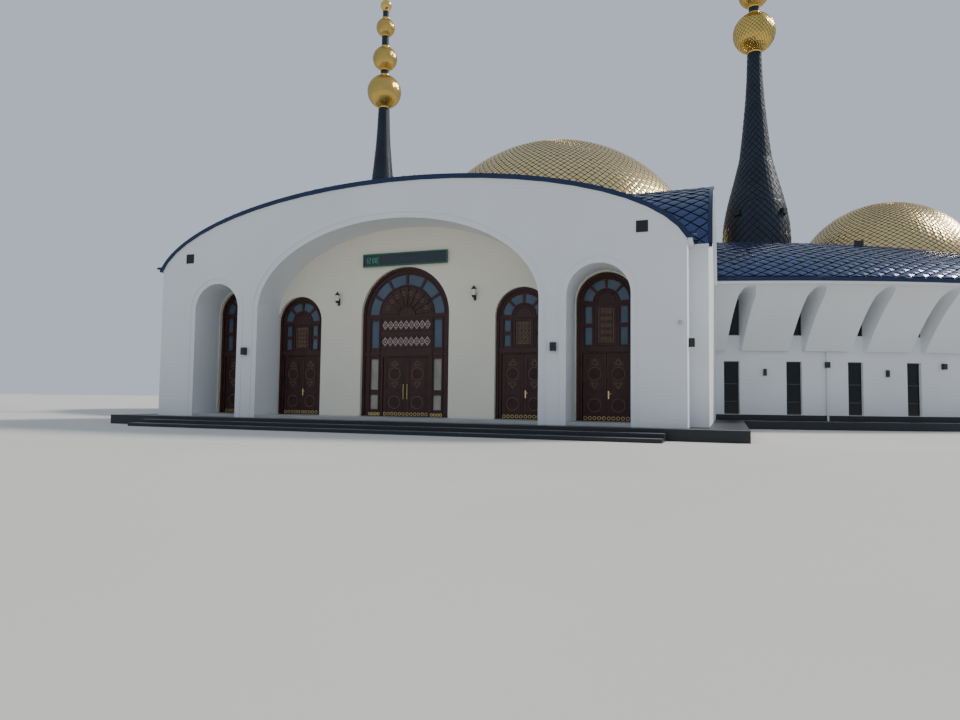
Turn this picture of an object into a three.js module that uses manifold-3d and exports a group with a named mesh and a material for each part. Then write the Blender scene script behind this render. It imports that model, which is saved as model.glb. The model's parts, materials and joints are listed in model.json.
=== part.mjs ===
// A mosque: an arched portal in front of a long oval prayer hall, with a large gilded dome,
// two smaller ones, and two slender minarets that carry gilded balls.
// Every length below is the real building's, in millimetres. X runs along the portal's face,
// Y from the steps towards the hall's back, Z up. The whole group is then halved.

import * as THREE from 'three';
import { mergeVertices } from 'three/addons/utils/BufferGeometryUtils.js';
import Module from 'manifold-3d';

const wasm = await Module();
wasm.setup();

// Model scale, and the play left between pieces that touch
const MODEL_SCALE = 0.5;
const GAP = 0.6;
const LEAF_PLAY = 12;
const PAST = 400;
const SLIVER = 0.4;

// Facets of the curved pieces
const OVAL_FACETS = 48;
const CROWN_FACETS = 12;
const CROSS_FACETS = 8;
const COVE_FACETS = 4;
const MINARET_FACETS = 12;
const BALL_RINGS = 6;

// Ground works
const PLATFORM_TOP = 460;
const FLOOR_TOP = 610;
const PLATFORM_HALF_WIDTH = 15500;
const PLATFORM_FRONT = -900;
const STEPS_HALF_WIDTH = 12500;
const STEP_COUNT = 2;
const STEP_TREAD = 850;

// Portal face: its top is an arc of a flat ellipse
const PORTAL_HALF_WIDTH = 13240;
const FACADE_DEPTH = 1800;
const CROWN_CENTRE_Z = 7315;
const CROWN_HALF_WIDTH = 13605;
const CROWN_RISE = 4377;
const VAULT_THICKNESS = 200;
const EAVE_LIP = 200;
const VERGE = 60;

// Arched openings of the portal face
const MAIN_ARCH = { centre: 0, halfWidth: 7200, spring: 5750, rise: 4070 };
const SIDE_ARCH = { centre: 9720, halfWidth: 1330, spring: 5870, rise: 1330 };

// Door wall behind the arches, and the block that it fronts
const DOOR_WALL_FRONT = FACADE_DEPTH + GAP;
const DOOR_WALL_BACK = 2300;
const BLOCK_HALF_WIDTH = 14000;
const BLOCK_EAVE_Z = 8000;
const BLOCK_WALL = 400;
const CROSS_VAULT_CENTRE = 7000;
const CROSS_VAULT_HALF_SPAN = 5200;
const CROSS_VAULT_RISE = 3700;
const GABLE_VERGE = 150;
const PORTAL_BACK = 16300;
const GABLE_BACK = 15780;
const VAULT_BACK = 18000;

// Doorways and their joinery
const FRAME_FRONT = 2050;
const FRAME_BACK = 2200;
const LEAF_FRONT = 2095;
const LEAF_BACK = 2155;
const LEAF_AXIS_INSET = 40;
const HINGE_SIDE_PLAY = 24;
const PIVOT_RADIUS = 20;
const GLASS_THICKNESS = 40;
const FAN_BAR = 70;
const CENTRE_DOOR = {
  name: 'centre', centre: 0, halfWidth: 2350, spring: 5540, leafHalf: 1240, leafTop: 3500,
  fan: { inner: 1500, outer: 2000, count: 6 },
  sidePanes: { inner: 1480, outer: 1900, rows: [[950, 1650], [1900, 3400], [3950, 5300]] },
};
const SIDE_DOOR_JOINERY = { halfWidth: 1300, leafHalf: 1050, leafTop: 3600 };
const SIDE_FAN = { inner: 600, outer: 1000, count: 4 };
const INNER_DOOR = {
  ...SIDE_DOOR_JOINERY, spring: 5350, fan: SIDE_FAN,
  sidePanes: { inner: 620, outer: 930, rows: [[3950, 4470], [4640, 5150]] },
};
const OUTER_DOOR = {
  ...SIDE_DOOR_JOINERY, spring: 5850, fan: SIDE_FAN,
  sidePanes: { inner: 620, outer: 930, rows: [[3950, 4730], [4900, 5650]] },
};
const DOORS = [
  { ...OUTER_DOOR, name: 'outer_left', centre: -SIDE_ARCH.centre },
  { ...INNER_DOOR, name: 'inner_left', centre: -5950 },
  CENTRE_DOOR,
  { ...INNER_DOOR, name: 'inner_right', centre: 5950 },
  { ...OUTER_DOOR, name: 'outer_right', centre: SIDE_ARCH.centre },
];

// Prayer hall: an oval wall whose upper part flares out in a cove to the eaves
const HALL_Y = 32500;
const WALL_A = 36500;
const WALL_B = 18500;
const WALL_THICKNESS = 500;
const WALKWAY = 2080;
const COVE_FOOT_Z = 4560;
const COVE_HEIGHT = 3590;
const COVE_REACH = 2900;
const WALL_TOP_Z = 8300;
const EAVE_REACH = 3000;
const EAVE_EDGE = 200;
const ROOF_RISE = 3750;
const ROOF_POWER = 7;
const ROOF_THICKNESS = 350;

// The wall's runs on one side, by bay, with the facets of each
const WALL_RUNS = [
  { place: 'front', first: 0, last: 7, steps: 8 },
  { place: 'end', first: 7, last: 14, steps: 12 },
  { place: 'back', first: 14, last: 21, steps: 8 },
];

// Windows of the hall, one above the other in each bay
const FIRST_WINDOW_ARC = 15030;
const BAYS_PER_SIDE = 21;
const WINDOW_WIDTH = 900;
const LOWER_WINDOW = { bottom: 800, top: 3950 };
const UPPER_WINDOW = { bottom: 5500, spring: 7560, rise: 440 };
const NICHE_SILL_Z = COVE_FOOT_Z + 100;
const NICHE_DEPTH = 40;
const NICHE_MARGIN = 60;

// Domes and minarets
const MAIN_DOME = { x: 0, radius: 13000, centreZ: 11500, footZ: 11500, thickness: 350, around: 36, up: 7 };
const SIDE_DOME = { x: 26200, radius: 6500, centreZ: 10500, footZ: 10500, thickness: 300, around: 24, up: 6 };
const DOME_DROP = 4000;
const MINARET_X = 16880;
const MINARET_Y = 30500;
const MINARET_RADIUS = 2600;
const MINARET_WALL = 350;
const SHOULDER_Z = 16900;
const SPIRE_TIP_RADIUS = 500;
const BALLS = [
  { name: 'large', z: 31500, radius: 1630, bore: 400 },
  { name: 'middle', z: 34840, radius: 1180, bore: 350 },
  { name: 'small', z: 38000, radius: 900, bore: 300 },
];
const SHAFT_TOP_Z = 39600;
const CRESCENT_RADIUS = 800;

// Finishes
function finish(color, roughness, metalness) {
  return new THREE.MeshStandardMaterial({ color, roughness, metalness });
}
const PLASTER = finish(0xe6e8e9, 0.85, 0);
const CREAM = finish(0xe8dfc8, 0.85, 0);
const GRANITE = finish(0x2b2d30, 0.45, 0);
const FLOOR = finish(0x6f6f70, 0.6, 0);
const BLUE_SHINGLE = finish(0x27345c, 0.35, 0.6);
const GOLD_SHINGLE = finish(0xb59a5a, 0.35, 0.8);
const GOLD = finish(0xc9a13c, 0.25, 0.9);
const DARK_SHINGLE = finish(0x141c2c, 0.4, 0.5);
const CARVED_WOOD = finish(0x3c1a16, 0.5, 0);
const PANE = finish(0x31404c, 0.1, 0);

// Makes a closed solid of a closed geometry
function solid(geometry) {
  const bare = new THREE.BufferGeometry();
  bare.setAttribute('position', geometry.getAttribute('position'));
  bare.setIndex(geometry.index);
  const merged = mergeVertices(bare, 0.01);
  const corners = merged.index ? merged.index.array : merged.attributes.position.array.map((_, i) => i);
  const kept = [];
  for (let i = 0; i < corners.length; i += 3) {
    const [a, b, c] = [corners[i], corners[i + 1], corners[i + 2]];
    if (a !== b && b !== c && c !== a) kept.push(a, b, c);
  }
  return new wasm.Manifold(new wasm.Mesh({
    numProp: 3,
    vertProperties: new Float32Array(merged.attributes.position.array),
    triVerts: new Uint32Array(kept),
  }));
}

// Turns a solid back into a three.js geometry, without its slivers
function geometryOf(body) {
  const data = body.simplify(SLIVER).getMesh();
  const geometry = new THREE.BufferGeometry();
  geometry.setAttribute('position', new THREE.BufferAttribute(new Float32Array(data.vertProperties), 3));
  geometry.setIndex(new THREE.BufferAttribute(new Uint32Array(data.triVerts), 1));
  geometry.computeVertexNormals();
  return geometry;
}

const building = new THREE.Group();
const mosque = new THREE.Group();
mosque.add(building);

function addPiece(name, body, material) {
  const mesh = new THREE.Mesh(geometryOf(body), material);
  mesh.name = name;
  building.add(mesh);
  return mesh;
}

// Adds a second mesh of the same shape, reflected across the building's long axis
function addReflection(mesh, name) {
  const twin = mesh.clone();
  twin.name = name;
  twin.scale.x = -1;
  building.add(twin);
}

function union(bodies) {
  return bodies.reduce((whole, next) => whole.add(next));
}

function cut(body, cutters) {
  return cutters.reduce((rest, cutter) => rest.subtract(cutter), body);
}

function box(x0, x1, y0, y1, z0, z1) {
  const geometry = new THREE.BoxGeometry(x1 - x0, y1 - y0, z1 - z0);
  geometry.translate((x0 + x1) / 2, (y0 + y1) / 2, (z0 + z1) / 2);
  return solid(geometry);
}

// Extrudes an outline drawn in X and Z along Y
function upright(shape, y0, y1, curveSegments = 12) {
  const geometry = new THREE.ExtrudeGeometry(shape, { depth: y1 - y0, bevelEnabled: false, curveSegments });
  geometry.rotateX(Math.PI / 2);
  geometry.translate(0, y1, 0);
  return solid(geometry);
}

// Extrudes an outline drawn in Y and Z along X
function sideways(shape, x0, x1, curveSegments = 12) {
  const geometry = new THREE.ExtrudeGeometry(shape, { depth: x1 - x0, bevelEnabled: false, curveSegments });
  geometry.rotateX(Math.PI / 2);
  geometry.rotateZ(Math.PI / 2);
  geometry.translate(x0, 0, 0);
  return solid(geometry);
}

// Extrudes an outline drawn in X and Y upwards
function slab(shape, z0, z1, curveSegments = OVAL_FACETS / 2) {
  const geometry = new THREE.ExtrudeGeometry(shape, { depth: z1 - z0, bevelEnabled: false, curveSegments });
  geometry.translate(0, 0, z0);
  return solid(geometry);
}

// Turns a closed profile of [radius, height] points about the vertical axis
function turned(profile, segments) {
  const points = [...profile, profile[0]].map(([r, z]) => new THREE.Vector2(r, z));
  const geometry = new THREE.LatheGeometry(points, segments);
  geometry.rotateX(Math.PI / 2);
  return geometry;
}

function outward(geometry) {
  const body = solid(geometry);
  if (body.volume() > 0) return body;
  const flipped = geometry.clone();
  const index = flipped.index.array;
  for (let i = 0; i < index.length; i += 3) [index[i], index[i + 1]] = [index[i + 1], index[i]];
  return solid(flipped);
}

// An arched outline: straight jambs under half an ellipse
function archShape({ centre, halfWidth, spring, rise }, bottom) {
  const shape = new THREE.Shape();
  shape.moveTo(centre - halfWidth, bottom);
  shape.lineTo(centre - halfWidth, spring);
  shape.absellipse(centre, spring, halfWidth, rise, Math.PI, 0, true);
  shape.lineTo(centre + halfWidth, bottom);
  return shape;
}

// The portal's crown: an elliptical arc cut off at halfWidth, over a straight foot
function crownShape(halfWidth, shrink, bottom) {
  const a = CROWN_HALF_WIDTH - shrink;
  const b = CROWN_RISE - shrink;
  const end = Math.acos(halfWidth / a);
  const shape = new THREE.Shape();
  shape.moveTo(-halfWidth, bottom);
  shape.absellipse(0, CROWN_CENTRE_Z, a, b, Math.PI - end, end, true);
  shape.lineTo(halfWidth, bottom);
  return shape;
}

// The half ellipse of the cross vault, in Y and Z
function crossShape(shrink, bottom) {
  return archShape({
    centre: CROSS_VAULT_CENTRE, halfWidth: CROSS_VAULT_HALF_SPAN - shrink,
    spring: BLOCK_EAVE_Z, rise: CROSS_VAULT_RISE - shrink,
  }, bottom);
}

function ovalShape(a, b) {
  const shape = new THREE.Shape();
  shape.absellipse(0, HALL_Y, a, b, 0, Math.PI * 2, false);
  return shape;
}

// Ground works
function groundWorks() {
  const hallBase = slab(ovalShape(WALL_A + WALKWAY, WALL_B + WALKWAY), 0, PLATFORM_TOP);
  const hallEdge = slab(ovalShape(WALL_A + WALKWAY + GAP, WALL_B + WALKWAY + GAP), -PAST, PLATFORM_TOP + PAST);
  const platform = box(-PLATFORM_HALF_WIDTH, PLATFORM_HALF_WIDTH, PLATFORM_FRONT, PORTAL_BACK, 0, PLATFORM_TOP);
  addPiece('hall_base', hallBase, GRANITE);
  addPiece('portal_platform', cut(platform, [hallEdge]), GRANITE);

  const riser = PLATFORM_TOP / (STEP_COUNT + 1);
  const back = PLATFORM_FRONT - GAP;
  const treads = [];
  for (let i = 0; i < STEP_COUNT; i += 1) {
    const front = PLATFORM_FRONT - STEP_TREAD * (STEP_COUNT - i);
    treads.push(box(-STEPS_HALF_WIDTH, STEPS_HALF_WIDTH, front, back, 0, riser * (i + 1)));
  }
  addPiece('front_steps', union(treads), GRANITE);
}

// The floor that runs from the porch through the portal into the hall
function innerFloor() {
  const z0 = PLATFORM_TOP + GAP;
  const outline = wallAngles().map((angle) => ellipsePoint(angle, -WALL_THICKNESS - GAP));
  const oval = new THREE.Shape(outline.map(([x, y]) => new THREE.Vector2(x, y)));
  const parts = [slab(oval, z0, FLOOR_TOP)];
  const side = BLOCK_HALF_WIDTH - BLOCK_WALL - GAP;
  parts.push(box(-side, side, DOOR_WALL_BACK + GAP, PORTAL_BACK, z0, FLOOR_TOP));
  for (const door of DOORS) {
    const half = door.halfWidth - GAP;
    parts.push(box(door.centre - half, door.centre + half, FACADE_DEPTH - 200, DOOR_WALL_BACK + PAST, z0, FLOOR_TOP));
  }
  for (const centre of [-SIDE_ARCH.centre, 0, SIDE_ARCH.centre]) {
    const half = (centre === 0 ? MAIN_ARCH : SIDE_ARCH).halfWidth - GAP;
    parts.push(box(centre - half, centre + half, 0, FACADE_DEPTH, z0, FLOOR_TOP));
  }
  addPiece('inner_floor', union(parts), FLOOR);
}

// Portal face, door wall and gable walls
function portalWalls() {
  const z0 = PLATFORM_TOP + GAP;
  const crown = crownShape(PORTAL_HALF_WIDTH, VAULT_THICKNESS + GAP, z0);
  const arches = [
    MAIN_ARCH,
    { ...SIDE_ARCH, centre: -SIDE_ARCH.centre },
    SIDE_ARCH,
  ].map((arch) => upright(archShape(arch, 0), -PAST, FACADE_DEPTH + PAST, arch === MAIN_ARCH ? 12 : 8));
  addPiece('facade_wall', cut(upright(crown, 0, FACADE_DEPTH, CROWN_FACETS), arches), PLASTER);

  const shoulder = box(-BLOCK_HALF_WIDTH, BLOCK_HALF_WIDTH, DOOR_WALL_FRONT, DOOR_WALL_BACK, z0, vaultEndHeight() - GAP);
  const doorways = DOORS.map((door) => upright(
    archShape({ ...door, rise: door.halfWidth }, 0), 0, DOOR_WALL_BACK + PAST, 8));
  const doorWall = upright(crown, DOOR_WALL_FRONT, DOOR_WALL_BACK, CROWN_FACETS).add(shoulder);
  addPiece('door_wall', cut(doorWall, doorways), CREAM);
}

// The vault over the portal, whole and hollow
function vaultSolid(shrink, y0, y1, bottom, gableEnd) {
  const lip = shrink > 0 ? 0 : EAVE_LIP;
  const along = upright(crownShape(PORTAL_HALF_WIDTH + lip, shrink, bottom), y0, y1, CROWN_FACETS);
  const across = sideways(crossShape(shrink, bottom), -gableEnd, gableEnd, CROSS_FACETS);
  return along.add(across);
}

function vaultEndHeight() {
  const a = CROWN_HALF_WIDTH - VAULT_THICKNESS;
  const b = CROWN_RISE - VAULT_THICKNESS;
  return CROWN_CENTRE_Z + b * Math.sqrt(1 - (PORTAL_HALF_WIDTH / a) ** 2);
}

// The hall's roof as a solid cap: steep at the eaves and almost flat inside
function roofCap(lift) {
  const profile = [[0, WALL_TOP_Z - (lift === 0 ? 0 : PAST)]];
  const eave = WALL_TOP_Z + EAVE_EDGE + lift;
  profile.push([1, profile[0][1]]);
  for (const rho of [1, 0.94, 0.87, 0.78, 0.64]) {
    profile.push([rho, eave + ROOF_RISE * (1 - rho ** ROOF_POWER)]);
  }
  profile.push([0, eave + ROOF_RISE]);
  const geometry = turned(profile, OVAL_FACETS);
  const reach = EAVE_REACH + Math.max(lift, 0);
  geometry.scale(WALL_A + reach, WALL_B + reach, 1);
  geometry.translate(0, HALL_Y, 0);
  return outward(geometry);
}

// The points of a dome's arc from its foot to its crown
function domeArc({ centreZ, up }, radius, start) {
  return Array.from({ length: up + 1 }, (_, i) => {
    const angle = start + (Math.PI / 2 - start) * (i / up);
    return [i === up ? 0 : radius * Math.cos(angle), centreZ + radius * Math.sin(angle)];
  });
}

function domeBody(dome) {
  const { x, radius, centreZ, footZ, thickness, around } = dome;
  const hollow = radius - thickness;
  const outer = domeArc(dome, radius, Math.asin((footZ - centreZ) / radius));
  const inner = domeArc(dome, hollow, Math.asin((footZ - centreZ) / hollow)).reverse();
  const geometry = turned([...outer, ...inner], around);
  geometry.translate(x, HALL_Y, 0);
  return outward(geometry);
}

// The room that a dome needs in a roof, from well below its foot
function domeClearance(dome) {
  const { x, radius, centreZ, footZ, around } = dome;
  const below = footZ - DOME_DROP;
  const outer = domeArc(dome, radius + 2 * GAP, Math.asin((footZ - centreZ) / radius));
  const geometry = turned([[0, below], [outer[0][0], below], ...outer], around);
  geometry.translate(x, HALL_Y, 0);
  return outward(geometry);
}

function cylinder(x, y, radius, z0, z1, segments = 24) {
  const geometry = new THREE.CylinderGeometry(radius, radius, z1 - z0, segments);
  geometry.rotateX(Math.PI / 2);
  geometry.translate(x, y, (z0 + z1) / 2);
  return solid(geometry);
}

function portalRoofAndHallRoof() {
  const foot = vaultEndHeight();
  const shell = vaultSolid(0, -VERGE, VAULT_BACK, foot, BLOCK_HALF_WIDTH + GABLE_VERGE);
  const hollow = vaultSolid(VAULT_THICKNESS, -PAST, VAULT_BACK + PAST, 0, BLOCK_HALF_WIDTH + PAST);
  const domes = [MAIN_DOME, SIDE_DOME, { ...SIDE_DOME, x: -SIDE_DOME.x }]
    .map(domeClearance);
  const minarets = [-MINARET_X, MINARET_X]
    .map((x) => cylinder(x, MINARET_Y, MINARET_RADIUS + GAP, 0, SHOULDER_Z));
  const backTrim = box(-WALL_A, WALL_A, PORTAL_BACK, HALL_Y, 0, CROWN_CENTRE_Z * 3);

  const portalRoof = cut(shell, [hollow, roofCap(GAP), domes[0]]);
  addPiece('portal_roof', portalRoof, BLUE_SHINGLE);

  const passage = vaultSolid(VAULT_THICKNESS, -PAST, PORTAL_BACK, 0, BLOCK_HALF_WIDTH + GAP).subtract(backTrim);
  const hallRoof = cut(roofCap(0), [roofCap(-ROOF_THICKNESS), passage, ...domes, ...minarets]);
  addPiece('hall_roof', hallRoof, BLUE_SHINGLE);
}

// The gable walls close the cross vault's ends and reach back under the hall's roof
function gableWalls() {
  const z0 = PLATFORM_TOP + GAP;
  const x0 = BLOCK_HALF_WIDTH - BLOCK_WALL;
  const y0 = DOOR_WALL_BACK + GAP;
  const low = box(x0, BLOCK_HALF_WIDTH, y0, GABLE_BACK, z0, vaultEndHeight() - GAP);
  const high = box(x0, BLOCK_HALF_WIDTH, y0, GABLE_BACK, z0, BLOCK_EAVE_Z * 2);
  const underVault = sideways(crossShape(VAULT_THICKNESS + GAP, 0), x0 - PAST, BLOCK_HALF_WIDTH + PAST, CROSS_FACETS);
  const underHall = roofCap(-ROOF_THICKNESS - GAP);
  const gable = high.intersect(underVault.add(underHall)).add(low);
  addReflection(addPiece('gable_wall_right', gable, PLASTER), 'gable_wall_left');
}

// Prayer hall wall
function ellipsePoint(angle, offset) {
  return [(WALL_A + offset) * Math.cos(angle), HALL_Y + (WALL_B + offset) * Math.sin(angle)];
}

// The angle on the oval at a given length of arc from the middle of the front
function angleAtArc(arc) {
  const step = 0.0001;
  let angle = -Math.PI / 2;
  let run = 0;
  while (run < arc) {
    const middle = angle + step / 2;
    run += Math.hypot(WALL_A * Math.sin(middle), WALL_B * Math.cos(middle)) * step;
    angle += step;
  }
  return Math.min(angle, Math.PI / 2);
}

// Bends an extruded wall section, drawn as outward offset and height, round the oval
function bent(section, fromAngle, toAngle, steps, curveSegments) {
  const geometry = new THREE.ExtrudeGeometry(section, { depth: 1, steps, bevelEnabled: false, curveSegments });
  const position = geometry.getAttribute('position');
  for (let i = 0; i < position.count; i += 1) {
    const angle = THREE.MathUtils.lerp(toAngle, fromAngle, position.getZ(i));
    const [x, y] = ellipsePoint(angle, position.getX(i));
    position.setXYZ(i, x, y, position.getY(i));
  }
  return solid(geometry);
}

// Bends a thin section round both sides of the oval, on the same facets as the wall
function bentRing(section) {
  const angles = wallAngles();
  const runs = [];
  for (let i = 0; i + 1 < angles.length; i += 1) {
    runs.push(bent(section, angles[i], angles[i + 1], 1, 1));
  }
  return union(runs);
}

// The angles of the wall's facets, from the portal's right round to its left
function wallAngles() {
  const pitch = bayPitch();
  const start = FIRST_WINDOW_ARC - pitch / 2;
  const right = [];
  for (const { first, last, steps } of WALL_RUNS) {
    const from = angleAtArc(start + first * pitch);
    const to = angleAtArc(start + last * pitch);
    for (let i = 0; i < steps; i += 1) right.push(THREE.MathUtils.lerp(from, to, i / steps));
  }
  const left = right.map((angle) => Math.PI - angle).reverse();
  return [...right, Math.PI / 2, ...left];
}

function wallSection() {
  const section = new THREE.Shape();
  section.moveTo(-WALL_THICKNESS, PLATFORM_TOP + GAP);
  section.lineTo(0, PLATFORM_TOP + GAP);
  section.lineTo(0, COVE_FOOT_Z);
  for (let i = 1; i <= COVE_FACETS; i += 1) {
    const turn = (i / COVE_FACETS) * (Math.PI / 2);
    section.lineTo(COVE_REACH * (1 - Math.cos(turn)), COVE_FOOT_Z + COVE_HEIGHT * Math.sin(turn));
  }
  section.lineTo(COVE_REACH, WALL_TOP_Z - GAP);
  section.lineTo(-WALL_THICKNESS, WALL_TOP_Z - GAP);
  return section;
}

// Places a cutter that was drawn facing the front square to the wall at an angle
function faceOutward(shape, from, to, angle, curveSegments) {
  const geometry = new THREE.ExtrudeGeometry(shape, { depth: to - from, bevelEnabled: false, curveSegments });
  geometry.rotateX(Math.PI / 2);
  geometry.translate(0, -from, 0);
  const normal = Math.atan2(WALL_A * Math.sin(angle), WALL_B * Math.cos(angle));
  geometry.rotateZ(normal + Math.PI / 2);
  const [x, y] = ellipsePoint(angle, 0);
  geometry.translate(x, y, 0);
  return solid(geometry);
}

function bayCutters(angle) {
  const half = WINDOW_WIDTH / 2;
  const square = new THREE.Shape();
  square.moveTo(-half, LOWER_WINDOW.bottom);
  square.lineTo(-half, LOWER_WINDOW.top);
  square.lineTo(half, LOWER_WINDOW.top);
  square.lineTo(half, LOWER_WINDOW.bottom);
  const upper = { centre: 0, halfWidth: half, ...UPPER_WINDOW };
  const niche = { ...upper, halfWidth: half + NICHE_MARGIN, rise: UPPER_WINDOW.rise + NICHE_MARGIN };
  return [
    faceOutward(square, -WALL_THICKNESS - PAST, PAST, angle, 1),
    faceOutward(archShape(upper, UPPER_WINDOW.bottom), -WALL_THICKNESS - PAST, PAST, angle, 2),
    faceOutward(archShape(niche, NICHE_SILL_Z), -NICHE_DEPTH, COVE_REACH + PAST, angle, 2),
  ];
}

function bayPitch() {
  return (quarterArc() * 2 - FIRST_WINDOW_ARC) / (BAYS_PER_SIDE - 0.5);
}

// The space that the portal block takes out of the oval wall
function portalClearance() {
  const half = BLOCK_HALF_WIDTH + GAP;
  return box(-half, half, 0, PORTAL_BACK + PAST * 5, 0, WALL_TOP_Z * 2);
}

function hallWalls() {
  const pitch = bayPitch();
  const start = FIRST_WINDOW_ARC - pitch / 2;
  const portal = portalClearance();
  const seam = GAP / 2 / WALL_B;
  for (const { place, first, last, steps } of WALL_RUNS) {
    const from = angleAtArc(start + first * pitch) + seam;
    const to = angleAtArc(start + last * pitch) - seam;
    const cutters = [];
    for (let bay = first; bay < last; bay += 1) {
      cutters.push(...bayCutters(angleAtArc(FIRST_WINDOW_ARC + bay * pitch)));
    }
    const wall = cut(bent(wallSection(), from, to, steps, 1), [portal, ...cutters]);
    addReflection(addPiece(`hall_wall_${place}_right`, wall, PLASTER), `hall_wall_${place}_left`);
  }
}

function quarterArc() {
  const steps = 2000;
  let run = 0;
  for (let i = 0; i < steps; i += 1) {
    const angle = ((i + 0.5) / steps) * (Math.PI / 2);
    run += Math.hypot(WALL_A * Math.sin(angle), WALL_B * Math.cos(angle)) * (Math.PI / 2 / steps);
  }
  return run;
}

// Glass behind the windows of each storey, and behind the joinery of the doors
function glazing() {
  const portal = portalClearance();
  const storeys = [
    ['lower_window_glass', LOWER_WINDOW.bottom - 100, LOWER_WINDOW.top + 100],
    ['upper_window_glass', UPPER_WINDOW.bottom - 100, UPPER_WINDOW.spring + UPPER_WINDOW.rise + 50],
  ];
  for (const [name, z0, z1] of storeys) {
    const outer = -WALL_THICKNESS - GAP;
    const section = new THREE.Shape();
    section.moveTo(outer - GLASS_THICKNESS, z0);
    section.lineTo(outer, z0);
    section.lineTo(outer, z1);
    section.lineTo(outer - GLASS_THICKNESS, z1);
    addPiece(name, cut(bentRing(section), [portal]), PANE);
  }

  const back = DOOR_WALL_BACK + GAP;
  const reach = SIDE_ARCH.centre + SIDE_ARCH.halfWidth;
  const sheet = box(-reach, reach, back, back + GLASS_THICKNESS, FLOOR_TOP + GAP, BLOCK_EAVE_Z - PAST / 2);
  const ways = DOORS.map(({ centre, leafHalf, leafTop }) => (
    box(centre - leafHalf - 60, centre + leafHalf + 60, 0, back + PAST, 0, leafTop + 60)));
  addPiece('door_glass', cut(sheet, ways), PANE);
}

// A slice of a ring in X and Z, for the panes of a fanlight
function ringSlice(x, z, inner, outer, from, to) {
  const shape = new THREE.Shape();
  shape.absarc(x, z, outer, from, to, false);
  shape.absarc(x, z, inner, to, from, true);
  return shape;
}

function doorFrame({ name, centre, halfWidth, spring, leafHalf, leafTop, fan, sidePanes }) {
  const radius = halfWidth - GAP;
  const outline = archShape({ centre, halfWidth: radius, spring, rise: radius }, FLOOR_TOP + GAP);
  const front = FRAME_FRONT - PAST;
  const back = FRAME_BACK + PAST;
  const holes = [box(centre - leafHalf, centre + leafHalf, front, back, 0, leafTop)];
  for (const [z0, z1] of sidePanes.rows) {
    holes.push(box(centre + sidePanes.inner, centre + sidePanes.outer, front, back, z0, z1));
    holes.push(box(centre - sidePanes.outer, centre - sidePanes.inner, front, back, z0, z1));
  }
  const sector = Math.PI / fan.count;
  const bar = FAN_BAR / fan.outer;
  for (let i = 0; i < fan.count; i += 1) {
    const slice = ringSlice(centre, spring, fan.inner, fan.outer, i * sector + bar, (i + 1) * sector - bar);
    holes.push(upright(slice, front, back, 2));
  }
  addPiece(`door_frame_${name}`, cut(upright(outline, FRAME_FRONT, FRAME_BACK, 8), holes), CARVED_WOOD);
}

// A leaf on pivots at its foot and head; side is -1 for the left leaf and 1 for the right one
function doorLeaf({ name, centre, leafHalf, leafTop }, side) {
  const edge = leafHalf - HINGE_SIDE_PLAY;
  const bottom = FLOOR_TOP + LEAF_PLAY;
  const top = leafTop - LEAF_PLAY;
  const ends = [centre + side * LEAF_PLAY / 2, centre + side * edge].sort((a, b) => a - b);
  const panel = box(ends[0], ends[1], LEAF_FRONT, LEAF_BACK, bottom, top);
  const pivotX = centre + side * (edge - LEAF_AXIS_INSET);
  const pivotY = (LEAF_FRONT + LEAF_BACK) / 2;
  const foot = cylinder(pivotX, pivotY, PIVOT_RADIUS, FLOOR_TOP + GAP, bottom + LEAF_AXIS_INSET, 8);
  const head = cylinder(pivotX, pivotY, PIVOT_RADIUS, top - LEAF_AXIS_INSET, leafTop - GAP, 8);
  addPiece(`door_leaf_${name}_${side < 0 ? 'left' : 'right'}`, union([panel, foot, head]), CARVED_WOOD);
}

function domes() {
  addPiece('main_dome', domeBody(MAIN_DOME), GOLD_SHINGLE);
  addPiece('side_dome_right', domeBody(SIDE_DOME), GOLD_SHINGLE);
  addPiece('side_dome_left', domeBody({ ...SIDE_DOME, x: -SIDE_DOME.x }), GOLD_SHINGLE);
}

// A minaret: hollow up to its shoulder, then a slender spire and a stepped shaft
function minaretBody(x) {
  const floor = FLOOR_TOP + GAP;
  const sweep = new THREE.SplineCurve([
    [MINARET_RADIUS - 300, SHOULDER_Z], [2120, 17700], [1650, 19350], [1230, 21000], [1030, 22650],
    [850, 24300], [690, 26000], [590, 27630], [SPIRE_TIP_RADIUS, seatHeight(BALLS[0], SPIRE_TIP_RADIUS)],
  ].map(([r, z]) => new THREE.Vector2(r, z)));
  const spire = sweep.getPoints(9).map(({ x: r, y: z }) => [r, z]);
  const shaft = [];
  let seatRadius = SPIRE_TIP_RADIUS;
  BALLS.forEach((ball, i) => {
    const top = i + 1 < BALLS.length ? seatHeight(BALLS[i + 1], ball.bore) : SHAFT_TOP_Z;
    shaft.push([ball.bore, seatHeight(ball, seatRadius)], [ball.bore, top]);
    seatRadius = ball.bore;
  });
  const hollow = MINARET_RADIUS - MINARET_WALL;
  const profile = [
    [hollow, floor], [MINARET_RADIUS, floor], [MINARET_RADIUS, SHOULDER_Z - 2500],
    ...spire, ...shaft, [0, SHAFT_TOP_Z], [0, SHOULDER_Z - 800], [hollow, SHOULDER_Z - 2000],
  ];
  const geometry = turned(profile, MINARET_FACETS);
  geometry.translate(x, MINARET_Y, 0);
  return outward(geometry);
}

// The height at which a ball sits on a shoulder of the given radius
function seatHeight({ z, radius }, seatRadius) {
  return z - Math.sqrt(radius ** 2 - seatRadius ** 2);
}

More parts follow.
